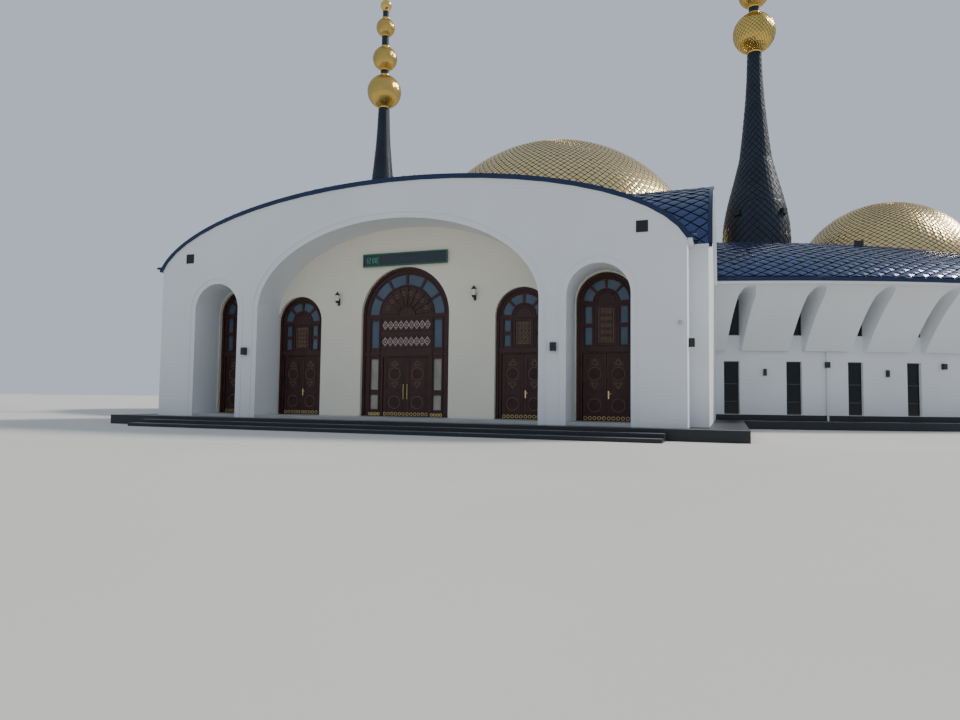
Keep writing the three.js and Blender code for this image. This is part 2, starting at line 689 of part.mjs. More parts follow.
function ballBody(x, { z, radius, bore }, seatRadius) {
  const inner = bore + GAP;
  const foot = Math.asin(-Math.sqrt(radius ** 2 - seatRadius ** 2) / radius);
  const head = Math.acos(inner / radius);
  const lift = GAP;
  const profile = [];
  for (let i = 0; i <= BALL_RINGS; i += 1) {
    const angle = foot + (head - foot) * (i / BALL_RINGS);
    profile.push([radius * Math.cos(angle), z + lift + radius * Math.sin(angle)]);
  }
  profile.push([inner, z + lift + radius * Math.sin(foot)]);
  const geometry = turned(profile, MINARET_FACETS);
  geometry.translate(x, MINARET_Y, 0);
  return outward(geometry);
}

// The gilded tip: a bulb, a stem and a crescent
function finialBody(x) {
  const z0 = SHAFT_TOP_Z + GAP;
  const bulb = [
    [0, 0], [320, 0], [320, 150], [520, 420], [560, 700], [420, 1000], [180, 1250], [150, 1700],
    [300, 1850], [340, 2050], [300, 2250], [120, 2400], [90, 3300], [0, 3400],
  ].map(([r, z]) => [r, z0 + z]);
  const stem = turned(bulb, 8);
  stem.translate(x, MINARET_Y, 0);
  const outer = CRESCENT_RADIUS;
  const inner = outer * 0.8;
  const rise = outer * 0.3;
  const tipZ = (outer ** 2 - inner ** 2 + rise ** 2) / (2 * rise);
  const tipX = Math.sqrt(outer ** 2 - tipZ ** 2);
  const outerEnd = Math.atan2(tipZ, tipX);
  const innerEnd = Math.atan2(tipZ - rise, tipX);
  const z = z0 + 3300 + outer;
  const shape = new THREE.Shape();
  shape.absarc(x, z, outer, outerEnd, Math.PI - outerEnd, true);
  shape.absarc(x, z + rise, inner, Math.PI - innerEnd, innerEnd, false);
  const crescent = upright(shape, MINARET_Y - 60, MINARET_Y + 60, 5);
  return outward(stem).add(crescent);
}

function minarets() {
  for (const [side, x] of [['left', -MINARET_X], ['right', MINARET_X]]) {
    addPiece(`minaret_${side}`, minaretBody(x), DARK_SHINGLE);
    let seat = SPIRE_TIP_RADIUS;
    for (const ball of BALLS) {
      addPiece(`${ball.name}_ball_${side}`, ballBody(x, ball, seat), GOLD);
      seat = ball.bore;
    }
    addPiece(`finial_${side}`, finialBody(x), GOLD);
  }
}

groundWorks();
innerFloor();
portalWalls();
portalRoofAndHallRoof();
gableWalls();
hallWalls();
glazing();
for (const door of DOORS) {
  doorFrame(door);
  doorLeaf(door, -1);
  doorLeaf(door, 1);
}
domes();
minarets();

// Halve the building and set its origin under the middle of its footprint
const FRONT = PLATFORM_FRONT - STEP_COUNT * STEP_TREAD;
const REAR = HALL_Y + WALL_B + EAVE_REACH;
building.position.y = -(FRONT + REAR) / 2;
mosque.scale.setScalar(MODEL_SCALE);

export default mosque;
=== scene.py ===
import json
from bisect import bisect_left
from math import acos, asin, atan2, cos, degrees, dist, hypot, isclose, pi, radians, sin, sqrt

import bmesh
import bpy
from bpy.props import FloatProperty, FloatVectorProperty, PointerProperty
from mathutils import Matrix, Vector
from mathutils.geometry import tessellate_polygon


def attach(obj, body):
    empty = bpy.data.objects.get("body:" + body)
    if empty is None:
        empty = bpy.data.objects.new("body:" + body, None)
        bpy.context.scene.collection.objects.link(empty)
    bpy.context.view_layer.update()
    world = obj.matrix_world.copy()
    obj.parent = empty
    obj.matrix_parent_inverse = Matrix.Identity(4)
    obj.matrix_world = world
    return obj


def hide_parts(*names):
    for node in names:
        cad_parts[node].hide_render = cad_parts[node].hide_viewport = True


bl_info = {
    "name": "Mosque",
    "version": (1, 0, 0),
    "blender": (4, 5, 0),
    "location": "3D View > Sidebar > Mosque",
    "description": "Dresses a half-size mosque with its shingles, doors, windows and fittings",
    "category": "Object",
}

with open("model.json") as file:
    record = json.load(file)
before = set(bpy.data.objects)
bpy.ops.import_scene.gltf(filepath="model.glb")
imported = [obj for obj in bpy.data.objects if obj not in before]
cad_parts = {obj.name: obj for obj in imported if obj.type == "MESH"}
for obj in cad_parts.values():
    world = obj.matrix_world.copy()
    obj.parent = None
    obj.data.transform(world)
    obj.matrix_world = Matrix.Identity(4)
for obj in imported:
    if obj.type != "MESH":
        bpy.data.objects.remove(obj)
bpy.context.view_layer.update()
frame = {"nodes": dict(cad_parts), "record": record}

# Lengths are the real building's, in metres, and are halved where a piece is finished
MODEL_SCALE = 0.5
MIDDLE_Y = 25.7
BODY = "building"

# Prayer hall
HALL_Y = 32.5
WALL_A, WALL_B = 36.5, 18.5
WALL_THICKNESS = 0.5
WALL_TOP = 8.29
WALKWAY = 2.08
TERRACE_Z = 0.46
FLOOR_Z = 0.61
PLINTH_START, PLINTH_TOP = 14.1, 0.78
COVE_FOOT, COVE_HEIGHT, COVE_REACH = 4.56, 3.59, 2.9
COVE_STRAIGHTNESS = 0.6
LEDGE_FOOT, LEDGE_REACH = COVE_FOOT - 0.004, 0.28

# Roof of the hall, with the depths behind its long axis at which the shingles begin and end
EAVE_REACH = 3.0
EAVE_TOP = 8.5
ROOF_RISE = 3.75
ROOF_POWER = 7
ROOF_A = WALL_A + EAVE_REACH - 0.02
ROOF_B = WALL_B + EAVE_REACH - 0.02
ROOF_CORE, ROOF_EDGE = 0.02, ROOF_B - 0.06
ROOF_ROWS, ROOF_COLUMNS = 73, 228
# Offsets and heights between which the eave's edge and soffit lie
EAVE_EDGE = (2.9, 2.998, 8.29, 8.51)
EAVE_SOFFIT = (2.86, 2.97, 8.27, 8.3)
EAVE_STEPS = 180
EAVE_START = acos(14.2 / (WALL_A + 0.53 * EAVE_REACH))

# Box on the roof, between its lengths, depths and heights
ROOF_BOX = (22.2, 22.7, 19.8, 20.1, 11.1, 11.68)

# Windows of the hall; bars lie between two depths, and panes between two depths behind the bars' front
BAYS = 21
FIRST_WINDOW = 15.03
WINDOW_HALF = 0.45
WINDOW_EDGE = WINDOW_HALF - 0.06
LOWER_SILL, LOWER_HEAD = 0.8, 3.95
LOWER_PANES = ((0.87, 1.52), (1.58, 2.58), (2.64, 3.89))
LOWER_BARS = (0.14, 0.2)
UPPER_SILL, UPPER_SPRING, UPPER_RISE = 5.5, 7.56, 0.55
UPPER_BARS = (0.03, 0.09)
PANE_DEPTHS = (0.025, 0.035)

# Portal
PORTAL_HALF = 13.24
BLOCK_HALF = 14.0
CROWN_Z, CROWN_A, CROWN_B = 7.315, 13.605, 4.377
VAULT_THICKNESS = 0.2
VAULT_FOOT = 7.97
VAULT_REACH = PORTAL_HALF + 0.2
VAULT_END_Y = 16.6
CROSS_Y, CROSS_HALF, CROSS_RISE, CROSS_SPRING = 7.0, 5.2, 3.7, 8.0
GABLE_END = 14.15
# Rows and columns of shingles on half of the crown and on a quarter of the cross vault
CROWN_SHINGLES, CROSS_SHINGLES = (53, 24), (25, 19)
# Arches: centre, half width, spring and rise
MAIN_ARCH = (0.0, 7.2, 5.75, 4.07)
SIDE_ARCH = (9.72, 1.33, 5.87, 1.33)
ARCHES = (MAIN_ARCH, SIDE_ARCH, (-SIDE_ARCH[0], *SIDE_ARCH[1:]))
FACADE_DEPTH = 1.8
DOOR_WALL_BACK = 2.3
LEAF_FRONT, LEAF_BACK = 2.095, 2.155
FRAME_FRONT, FRAME_BACK, FRAME_RELIEF = 2.05, 2.2, 0.035
# Play of a leaf at its top and foot, where two leaves meet and at its hinge, and the pivot's distance from
# the edge of the doorway
LEAF_PLAY, MEETING_PLAY, HINGE_PLAY, PIVOT_IN = 0.012, 0.006, 0.024, 0.064
MEDALLIONS = (1.3, 2.68)
# Tones of the carved frames and leaves; a leaf has no inlay, so that its brass takes the place of one
FRAME_LOOKS, WOOD, CARVING, INLAY, BRASS = "wood carving inlay brass", 0, 1, 2, 3
LEAF_LOOKS, LEAF_BRASS = "wood carving brass", 2
# Door panes below this height are pale: curtains behind the glass, with a painted reflection of light
# surroundings
PALE_PANE_TOP = 3.5

# Doors: name, centre, half width, spring, half width and top of the leaves, radii and sectors of the fan,
# and edges and heights of the side panes
OUTER_DOOR = (1.3, 5.85, 1.05, 3.6, (0.6, 1.0, 4), (0.62, 0.93, ((3.95, 4.73), (4.9, 5.65))))
INNER_DOOR = (1.3, 5.35, 1.05, 3.6, (0.6, 1.0, 4), (0.62, 0.93, ((3.95, 4.47), (4.64, 5.15))))
CENTRE_DOOR = (2.35, 5.54, 1.24, 3.5, (1.5, 2.0, 6), (1.48, 1.9, ((0.95, 1.65), (1.9, 3.4), (3.95, 5.3))))
DOORS = (
    ("outer_left", -9.72, *OUTER_DOOR), ("inner_left", -5.95, *INNER_DOOR), ("centre", 0.0, *CENTRE_DOOR),
    ("inner_right", 5.95, *INNER_DOOR), ("outer_right", 9.72, *OUTER_DOOR),
)

# Domes: x, radius, centre height, and their bands of shingles as top angle, foot angle, columns, rows
MAIN_DOME = (0.0, 13.0, 11.5, ((84, 72, 58, 9), (72, 1, 116, 56)))
SIDE_DOME = (26.2, 6.5, 10.5, ((84, 70, 38, 8), (70, 2, 76, 44)))
DOMES = {"main": MAIN_DOME, "right": SIDE_DOME, "left": (-SIDE_DOME[0], *SIDE_DOME[1:])}

# Minarets: place, outline as radius and height, and bands of shingles
MINARET_X, MINARET_Y = 16.88, 30.5
MINARET_OUTLINE = (
    (2.6, FLOOR_Z + 0.01), (2.6, 14.4), (2.53, 15.6), (2.3, 16.9), (2.12, 17.7), (1.68, 19.35), (1.28, 21.0),
    (1.08, 22.65), (0.91, 24.3), (0.76, 26.0), (0.66, 27.63), (0.57, 29.94),
)
MINARET_BANDS = ((29.8, 25.0, 10, 20), (25.0, 20.6, 14, 16), (20.6, 17.2, 20, 12), (17.2, 12.2, 26, 17))
# How far inside the outline the core and the shingles lie
MINARET_CORE_IN, MINARET_SHINGLES_IN = 0.1, 0.05
# Dark boxes on a minaret, along, outward and up, and the turn at which the first one sits
SOCKET_BOX = (-0.25, 0.25, -0.15, 0.16, 16.08, 16.52)
SOCKET_TURN = 0.63
# Radius of a turned shape at its axis
POLE = 0.001
# Balls: name, height, radius, the shaft they sit on, and shingles round and up
BALLS = (
    ("large", 31.5, 1.63, 0.4, 30, 26),
    ("middle", 34.84, 1.18, 0.35, 26, 22),
    ("small", 38.0, 0.9, 0.3, 22, 18),
)
SHAFT_TOP = 39.6
# Tip: outline as radius and height above the shaft, and the crescent's foot, radii, rise and thickness
TIP_OUTLINE = (
    (0.32, 0), (0.32, 0.15), (0.44, 0.26), (0.52, 0.42), (0.56, 0.6), (0.54, 0.78), (0.42, 1.0),
    (0.27, 1.14), (0.18, 1.25), (0.15, 1.5), (0.15, 1.7), (0.25, 1.78), (0.32, 1.92), (0.34, 2.05),
    (0.32, 2.16), (0.25, 2.3), (0.12, 2.4), (0.09, 3.3), (POLE, 3.4),
)
CRESCENT_FOOT, CRESCENT_OUTER, CRESCENT_INNER, CRESCENT_RISE = 3.3, 0.8, 0.64, 0.24
CRESCENT_HALF = 0.06

# A ball's collar, outward from its shaft and up from its place
BALL_COLLAR = ((-0.01, -0.1), (0.09, -0.1), (0.12, 0.0), (0.09, 0.1), (-0.01, 0.1))
# Lamps: half width, depth, foot and head, then the half width and near and far depths of the glass
PORTAL_LAMP = (0.12, 0.2, -0.18, 0.18, 0.08, 0.17, 0.04)
PORTAL_LAMP_PLACES = ((7.86, 0.0, 3.73), (13.36, 1.0, 3.89))
HALL_LAMPS = ((0.08, 0.14, 3.1, 3.5, 0.05, 0.12, 0.02), (0.12, 0.2, 3.6, 3.94, 0.09, 0.17, 0.03))
VENT_Z = 8.58
DOWNPIPES, FIRST_DOWNPIPE, PIPE_CLIPS = 5, 20.5, (1.2, 2.6, 3.9)
DISPLAY_HEIGHTS = (7.96, 8.56)
# Digits of the display, as bars that lie between two widths and two heights
DIGITS = {"1": "bc", "2": "abged", "0": "abcdef"}
DIGIT_BARS = {
    "a": (0, 0.1, 0.24, 0.26), "g": (0, 0.1, 0.12, 0.14), "d": (0, 0.1, 0, 0.02), "f": (0, 0.02, 0.13, 0.26),
    "e": (0, 0.02, 0, 0.13), "b": (0.08, 0.1, 0.13, 0.26), "c": (0.08, 0.1, 0, 0.13),
}

# Camera, as fitted to the photo: yaw, pitch and roll in degrees, focal length in the photo's pixels, and eye
CAMERA_TURNS = (20.02, 3.24, 0.72)
FOCAL_PIXELS, PHOTO_WIDTH, SENSOR_WIDTH = 685.3, 960, 36.0
EYE = (14.78, -27.97, 1.517)
SKY_COLOUR, SKY_STRENGTH = (0.72, 0.82, 0.95), 0.7
SUN_COLOUR, SUN_STRENGTH, SUN_SPREAD = (1.0, 0.95, 0.86), 3.0, 12
TOWARDS_SUN = (0.62, 0.52, 0.75)

# Share of its place that a shingle covers, so that the roof beneath, coloured darker as painted shade, shows
# as a dark line round it
COVER = 0.89
# Heights of a shingle's upper corner, side corners and middle as shares of its lower corner's, how much that
# one varies, and the height of its underside
UPPER_LIFT, SIDE_LIFT, MIDDLE_LIFT = 0.2, 0.3, 0.45
LIFT_VARIATION = 0.3
SHINGLE_FOOT = -0.01
BLOCK_STEPS = 7
# Steps over which the slope of a surface is measured: in height, turn and depth
RISE_STEP, TURN_STEP, DEPTH_STEP = 0.05, 0.001, 0.01
# How far the hall roof's shingles run under a dome and a minaret
DOME_LAP, MINARET_LAP = 0.05, 0.02

# Finishes: detail of mottle and grain, where the mottle's colours start and end, and the grain's depth
MOTTLE_DETAIL, GRAIN_DETAIL = 6.0, 4.0
MOTTLE_FROM, MOTTLE_TO = 0.3, 0.7
GRAIN_DEPTH = 0.004

# Where two surfaces would meet, one stands clear of the other by this
CLEARANCE = 0.001
# Corners of a piece that lie closer than this, in the model, are one
WELD_REACH = 0.0001


def as_drawn(x, y, z):
    return (x, y, z)


def spread(start, end, steps):
    """Values in even steps, both ends included."""
    return [start + (end - start) * i / steps for i in range(steps + 1)]


def whole_turn(steps):
    return spread(0, 2 * pi, steps)[:-1]


def ellipse(x, z, a, b, turns):
    return [(x + a * cos(t), z + b * sin(t)) for t in turns]


def loop_faces(n, i=0, j=1):
    """The faces between the loops i and j of n points each."""
    return [(i * n + k, i * n + (k + 1) % n, j * n + (k + 1) % n, j * n + k) for k in range(n)]


def end_faces(n):
    """The faces that close the loops 0 and 1."""
    return [tuple(reversed(range(n))), tuple(range(n, 2 * n))]


class Shape:
    """Points and faces of one piece, in the real building's metres."""

    def __init__(self):
        self.points, self.faces, self.tones = [], [], []

    def add(self, points, faces, tone=0):
        start = len(self.points)
        self.points.extend(tuple(p) for p in points)
        self.faces.extend(tuple(start + i for i in f) for f in faces)
        self.tones.extend([tone] * len(faces))

    def box(self, x0, x1, y0, y1, z0, z1, tone=0, place=None):
        place = place or as_drawn
        corners = [place(x, y, z) for z in (z0, z1) for y in (y0, y1) for x in sorted((x0, x1))]
        faces = [(0, 2, 3, 1), (4, 5, 7, 6), (0, 1, 5, 4), (2, 6, 7, 3), (0, 4, 6, 2), (1, 3, 7, 5)]
        self.add(corners, faces, tone)

    def plate(self, outline, holes, y0, y1, tone=0, place=None):
        """A sheet in X and Z, with holes, between two depths."""
        place = place or as_drawn
        loops = [list(outline), *holes]
        flat = [p for loop in loops for p in loop]
        triangles = tessellate_polygon([[Vector((x, z, 0)) for x, z in loop] for loop in loops])
        count = len(flat)
        points = [place(x, y0, z) for x, z in flat] + [place(x, y1, z) for x, z in flat]
        faces = [tuple(t) for t in triangles] + [tuple(count + i for i in reversed(t)) for t in triangles]
        start = 0
        for loop in loops:
            n = len(loop)
            for i in range(n):
                a, b = start + i, start + (i + 1) % n
                faces.append((a, b, count + b, count + a))
            start += n
        self.add(points, faces, tone)

    def turned(self, x, y, profile, segments, tone=0):
        """A profile of radius and height turned about a vertical axis."""
        turns = whole_turn(segments)
        points = [(*p, z) for r, z in profile for p in ellipse(x, y, r, r, turns)]
        faces = [f for j in range(len(profile) - 1) for f in loop_faces(segments, j, j + 1)]
        self.add(points, faces, tone)

    def ring(self, x, y, z, radius, thickness, tone=0, around=20, start=0.0, end=2 * pi):
        """A round bar bent to a circle, or part of one, in X and Z."""
        angles = spread(start, end, around)
        if isclose(end - start, 2 * pi):
            angles.pop()
        sides, points, faces = 6, [], []
        for angle in angles:
            for turn in whole_turn(sides):
                r = radius + thickness * cos(turn)
                points.append((x + r * cos(angle), y + thickness * sin(turn), z + r * sin(angle)))
        for i in range(around):
            faces += loop_faces(sides, i, (i + 1) % len(angles))
        self.add(points, faces, tone)

    def rod(self, start, end, radius, tone=0, sides=8):
        a, b = Vector(start), Vector(end)
        axis = (b - a).normalized()
        across = axis.orthogonal().normalized()
        other = axis.cross(across)
        points = [p + (across * cos(t) + other * sin(t)) * radius for p in (a, b) for t in whole_turn(sides)]
        self.add(points, loop_faces(sides) + end_faces(sides), tone)

    def reflected(self):
        """Adds the same shape on the other side of the building."""
        start = len(self.points)
        self.points.extend([(-x, y, z) for x, y, z in self.points])
        self.faces.extend([tuple(start + i for i in reversed(f)) for f in self.faces])
        self.tones.extend(self.tones)

    def finish(self, name, looks, slot, body=BODY, crease=30.0, closed=True, stands_for=()):
        """Makes the object, halved, with the finishes that its tones stand for, and gives it its body."""
        mesh = bpy.data.meshes.new(name)
        halved = [(x * MODEL_SCALE, (y - MIDDLE_Y) * MODEL_SCALE, z * MODEL_SCALE) for x, y, z in self.points]
        mesh.from_pydata(halved, [], self.faces)
        for look in looks.split():
            mesh.materials.append(FINISHES[look])
        mesh.polygons.foreach_set("material_index", self.tones)
        if closed:
            work = bmesh.new()
            work.from_mesh(mesh)
            bmesh.ops.remove_doubles(work, verts=work.verts, dist=WELD_REACH)
            bmesh.ops.recalc_face_normals(work, faces=work.faces)
            work.to_mesh(mesh)
            work.free()
        mesh.shade_smooth()
        mesh.set_sharp_from_angle(angle=radians(crease))
        piece = bpy.data.objects.new(name, mesh)
        bpy.context.scene.collection.objects.link(piece)
        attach(piece, body)
        if stands_for:
            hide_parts(*stands_for)


# Outlines

def arch_outline(centre, half, spring, rise, bottom, steps=48):
    arc = ellipse(centre, spring, half, rise, spread(pi, 0.0, steps))
    return [(centre - half, bottom), *arc, (centre + half, bottom)]


def crown_outline(half, shrink):
    a, b, steps = CROWN_A - shrink, CROWN_B - shrink, 72
    end = acos(half / a)
    return ellipse(0.0, CROWN_Z, a, b, spread(pi - end, end, steps))


def ring_slice(x, z, inner, outer, start, end, steps=6):
    turns = spread(start, end, steps)
    return ellipse(x, z, outer, outer, turns) + ellipse(x, z, inner, inner, turns[::-1])


def rectangle(x0, x1, z0, z1):
    return [(x0, z0), (x0, z1), (x1, z1), (x1, z0)]


# The oval wall, measured by its length of arc from the middle of the front

def arc_table():
    steps, run = 4000, 0.0
    angles = spread(-pi / 2, pi / 2, steps)
    table = [(run, angles[0])]
    for a, b in zip(angles, angles[1:]):
        middle = (a + b) / 2
        run += hypot(WALL_A * sin(middle), WALL_B * cos(middle)) * (b - a)
        table.append((run, b))
    return table


ARCS = arc_table()
HALF_ROUND = ARCS[-1][0]
PITCH = (HALF_ROUND - FIRST_WINDOW) / (BAYS - 0.5)


def angle_at(arc):
    k = min(max(bisect_left(ARCS, (arc,)), 1), len(ARCS) - 1)
    (a, s), (b, t) = ARCS[k - 1], ARCS[k]
    return s + (t - s) * (arc - a) / (b - a)


def oval(angle, offset):
    return ((WALL_A + offset) * cos(angle), HALL_Y + (WALL_B + offset) * sin(angle))


def on_wall(arc, offset, z):
    x, y = oval(angle_at(arc), offset)
    return (x, y, z)


def bay_place(arc):
    """Turns a point drawn as sideways, inward and up into one at that place on the wall."""
    angle = angle_at(arc)
    x0, y0 = oval(angle, 0.0)
    normal = Vector((WALL_B * cos(angle), WALL_A * sin(angle), 0)).normalized()
    along = Vector((-normal.y, normal.x, 0))

    def place(x, inward, z):
        p = Vector((x0, y0, z)) + along * x - normal * inward
        return (p.x, p.y, p.z)
    return place


def cove_offset(z):
    """How far the wall stands out: at a ledge, and over it with a flare that is part straight, part round."""
    if z < COVE_FOOT:
        return 0.0
    rise = min((z - COVE_FOOT) / COVE_HEIGHT, 1.0)
    flare = COVE_STRAIGHTNESS * rise + (1 - COVE_STRAIGHTNESS) * (1 - sqrt(1 - rise * rise))
    return LEDGE_REACH + (COVE_REACH - LEDGE_REACH) * flare


def roof_point(depth, turn):
    """A point of the hall's roof, on the row that lies at a depth behind the roof's long axis."""
    x = (SIDE_DOME[0] + (ROOF_A - SIDE_DOME[0]) * depth / ROOF_B) * cos(turn)
    y = depth * sin(turn)
    rho = min(hypot(x / ROOF_A, y / ROOF_B), 1.0)
    return Vector((x, HALL_Y + y, EAVE_TOP + ROOF_RISE * (1 - rho ** ROOF_POWER)))


def crown_height(x):
    if abs(x) > VAULT_REACH:
        return -1.0
    return CROWN_Z + CROWN_B * sqrt(1 - (x / CROWN_A) ** 2)


def cross_height(x, y):
    if abs(y - CROSS_Y) > CROSS_HALF or abs(x) > GABLE_END:
        return -1.0
    return CROSS_SPRING + CROSS_RISE * sqrt(1 - ((y - CROSS_Y) / CROSS_HALF) ** 2)


# Finishes

def finish(name, colour, roughness, metallic=0.0, mottle=0.08, mottle_scale=2.0, grain=0.0, grain_scale=60.0,
           specular=0.5):
    """A finish whose colour and grain vary with the place on the object."""
    material = bpy.data.materials.new(name)
    material.use_nodes = True
    nodes, links = material.node_tree.nodes, material.node_tree.links
    shader = nodes["Principled BSDF"]
    shader.inputs["Roughness"].default_value = roughness
    shader.inputs["Metallic"].default_value = metallic
    shader.inputs["Specular IOR Level"].default_value = specular
    coordinates = nodes.new("ShaderNodeTexCoord")
    noise = nodes.new("ShaderNodeTexNoise")
    noise.inputs["Scale"].default_value = mottle_scale
    noise.inputs["Detail"].default_value = MOTTLE_DETAIL
    links.new(coordinates.outputs["Object"], noise.inputs["Vector"])
    ramp = nodes.new("ShaderNodeValToRGB")
    stops = ((MOTTLE_FROM, 1 - mottle), (MOTTLE_TO, 1 + mottle))
    for stop, (position, share) in zip(ramp.color_ramp.elements, stops):
        stop.position = position
        stop.color = (*[min(c * share, 1.0) for c in colour], 1)
    links.new(noise.outputs["Fac"], ramp.inputs["Fac"])
    links.new(ramp.outputs["Color"], shader.inputs["Base Color"])
    if grain > 0:
        fine = nodes.new("ShaderNodeTexNoise")
        fine.inputs["Scale"].default_value = grain_scale
        fine.inputs["Detail"].default_value = GRAIN_DETAIL
        bump = nodes.new("ShaderNodeBump")
        bump.inputs["Strength"].default_value = grain
        bump.inputs["Distance"].default_value = GRAIN_DEPTH
        links.new(coordinates.outputs["Object"], fine.inputs["Vector"])
        links.new(fine.outputs["Fac"], bump.inputs["Height"])
        links.new(bump.outputs["Normal"], shader.inputs["Normal"])
    return material


def make_finishes(settings):
    return {
        "plaster": finish("white plaster", settings.plaster, 0.8, mottle=0.03, mottle_scale=0.6, grain=0.15),
        "cream": finish("cream plaster", settings.cream, 0.8, mottle=0.03, mottle_scale=0.8, grain=0.15),
        "granite": finish("dark granite", settings.granite, 0.45, mottle=0.25, mottle_scale=30.0),
        "tread": finish("grey granite tread", (0.22, 0.225, 0.235), 0.5, mottle=0.15, mottle_scale=30.0),
        "floor": finish("grey floor stone", (0.42, 0.42, 0.41), 0.4, mottle=0.08, mottle_scale=3.0),
        "blue": finish("blue shingle", settings.blue, 0.22, 0.75, mottle=0.15, mottle_scale=3.0),
        "trim": finish("blue roof edge", (0.02, 0.034, 0.085), 0.3, 0.5, mottle=0.1),
        "gold": finish("pale gold shingle", settings.gold, 0.25, 0.95, mottle=0.07, mottle_scale=3.0),
        "dark": finish("blue-black shingle", settings.dark, 0.45, 0.4, mottle=0.25, mottle_scale=1.5),
        "gilding": finish("gilding", settings.gilding, 0.22, 1.0, mottle=0.1, mottle_scale=4.0),
        "brass": finish("brass", (0.95, 0.72, 0.32), 0.35, 0.75, mottle=0.05),
        "wood": finish("carved wood", settings.wood, 0.55, mottle=0.25, mottle_scale=5.0, grain=0.2,
                       grain_scale=25.0),
        "carving": finish("light carving", (0.2, 0.13, 0.08), 0.5, mottle=0.1, mottle_scale=8.0),
        "inlay": finish("pale inlay", (0.72, 0.6, 0.55), 0.5, mottle=0.06, mottle_scale=8.0),
        "bar": finish("window bar", (0.035, 0.03, 0.03), 0.4, mottle=0.1),
        "pane": finish("window pane", (0.012, 0.015, 0.018), 0.08, mottle=0.1, specular=0.25),
        "door_pane": finish("door pane", (0.07, 0.105, 0.15), 0.08, mottle=0.15),
        # Pale door pane: curtains behind the glass, with a painted reflection
        "curtained_pane": finish("curtained pane with painted reflection", (0.3, 0.29, 0.25), 0.15, mottle=0.2, mottle_scale=3.0),
        # Darker copies of the shingle colours, for the roofs under the shingles: painted shade in the gaps
        # between shingles
        "blue_painted_shade": finish("painted shade between blue shingles", (0.01, 0.017, 0.045), 0.5, 0.3),
        "gold_gap": finish("painted shade between gold shingles", (0.07, 0.045, 0.015), 0.5, 0.5),
        "dark_painted_shade": finish("painted shade between dark shingles", (0.005, 0.007, 0.012), 0.5, 0.3),
        "black": finish("black metal", (0.015, 0.015, 0.017), 0.45, mottle=0.1),
        "grey": finish("grey metal", (0.5, 0.51, 0.52), 0.45, 0.4, mottle=0.06),
        "lamp": finish("lamp glass", (0.75, 0.72, 0.65), 0.3, mottle=0.04),
        "green": finish("green display frame", (0.012, 0.11, 0.055), 0.35, mottle=0.15, mottle_scale=8.0),
        "lit": finish("lit green", (0.08, 0.6, 0.3), 0.4, mottle=0.05),
        "display": finish("dark display", (0.02, 0.03, 0.045), 0.25, mottle=0.2, mottle_scale=12.0),
    }


FINISHES = {}
# A point inside each hollow roof, in the half-size building's metres; faces that look at it are plastered
CEILINGS = {
    "hall_roof": (0, 3.4, -30), "portal_roof": (0, -9.35, 1.5), "main_dome": (0, 3.4, 5.75),
    "side_dome_right": (13.1, 3.4, 5.25), "side_dome_left": (-13.1, 3.4, 5.25),
}
# The roof solids under the shingles take the darker finishes that paint the shade between shingles
NODE_FINISHES = {
    "plaster": "plaster", "cream_plaster": "cream", "granite": "granite", "floor_stone": "floor",
    "blue_shingle": "blue_painted_shade", "gold_shingle": "gold_gap", "dark_shingle": "dark_painted_shade", "gilding": "gilding",
    "carved_wood": "wood", "pane": "pane",
}


# Shingles

SHINGLE_FACES = ((0, 1, 7), (1, 2, 7), (2, 3, 7), (3, 0, 7), (1, 4, 5, 2), (2, 5, 6, 3))


def lay_shingles(shape, surface, rows, columns, lift, blocked=None, closed=True):
    """Covers a surface with folded rhombic shingles, each lifted at its lower corner."""
    def at(u, v, height):
        point, normal = surface(u, v)
        return point + normal * height

    def held(u, v, centre):
        """Draws a corner that is blocked back towards the shingle's centre."""
        if not blocked(surface(u, v)[0]):
            return u, v
        lo, hi = 0.0, 1.0
        for _ in range(BLOCK_STEPS):
            middle = (lo + hi) / 2
            point = surface(centre[0] + (u - centre[0]) * middle, centre[1] + (v - centre[1]) * middle)[0]
            lo, hi = (lo, middle) if blocked(point) else (middle, hi)
        return centre[0] + (u - centre[0]) * lo, centre[1] + (v - centre[1]) * lo

    half = 0.5 / columns
    for j in range(rows + 1):
        v, shift = j / rows, 0.5 if j % 2 else 0.0
        for i in range(columns if closed or j % 2 else columns + 1):
            u = (i + shift) / columns
            corners = [(u, max(j - 1, 0) / rows), (u - half, v), (u, min(j + 1, rows) / rows), (u + half, v)]
            if not closed:
                corners = [(min(max(a, 0.0), 1.0), b) for a, b in corners]
            if blocked:
                if blocked(surface(u, v)[0]):
                    continue
                corners = [held(a, b, (u, v)) for a, b in corners]
            corners = [(u + (a - u) * COVER, v + (b - v) * COVER) for a, b in corners]
            tip = 1.0 + LIFT_VARIATION * sin(12.9 * i + 78.2 * j)
            shares = (UPPER_LIFT, SIDE_LIFT, tip, SIDE_LIFT)
            upper = [at(a, b, lift * share) for (a, b), share in zip(corners, shares)]
            lower = [at(a, b, SHINGLE_FOOT) for a, b in corners[1:]]
            peak = sum(upper, Vector()) / 4 + surface(u, v)[1] * MIDDLE_LIFT * lift
            shape.add(upper + lower + [peak], SHINGLE_FACES)


def dome_surface(x, y, radius, centre_z, top, foot):
    def surface(u, v):
        rise = radians(top + (foot - top) * v)
        turn = 2 * pi * u
        normal = Vector((cos(rise) * cos(turn), cos(rise) * sin(turn), sin(rise)))
        return Vector((x, y, centre_z)) + normal * radius, normal
    return surface


def turned_surface(x, y, radius_at, top, foot):
    def surface(u, v):
        z = top + (foot - top) * v
        turn = 2 * pi * u
        slope = (radius_at(z - RISE_STEP) - radius_at(z + RISE_STEP)) / (2 * RISE_STEP)
        normal = Vector((cos(turn), sin(turn), slope)).normalized()
        r = radius_at(z)
        return Vector((x + r * cos(turn), y + r * sin(turn), z)), normal
    return surface


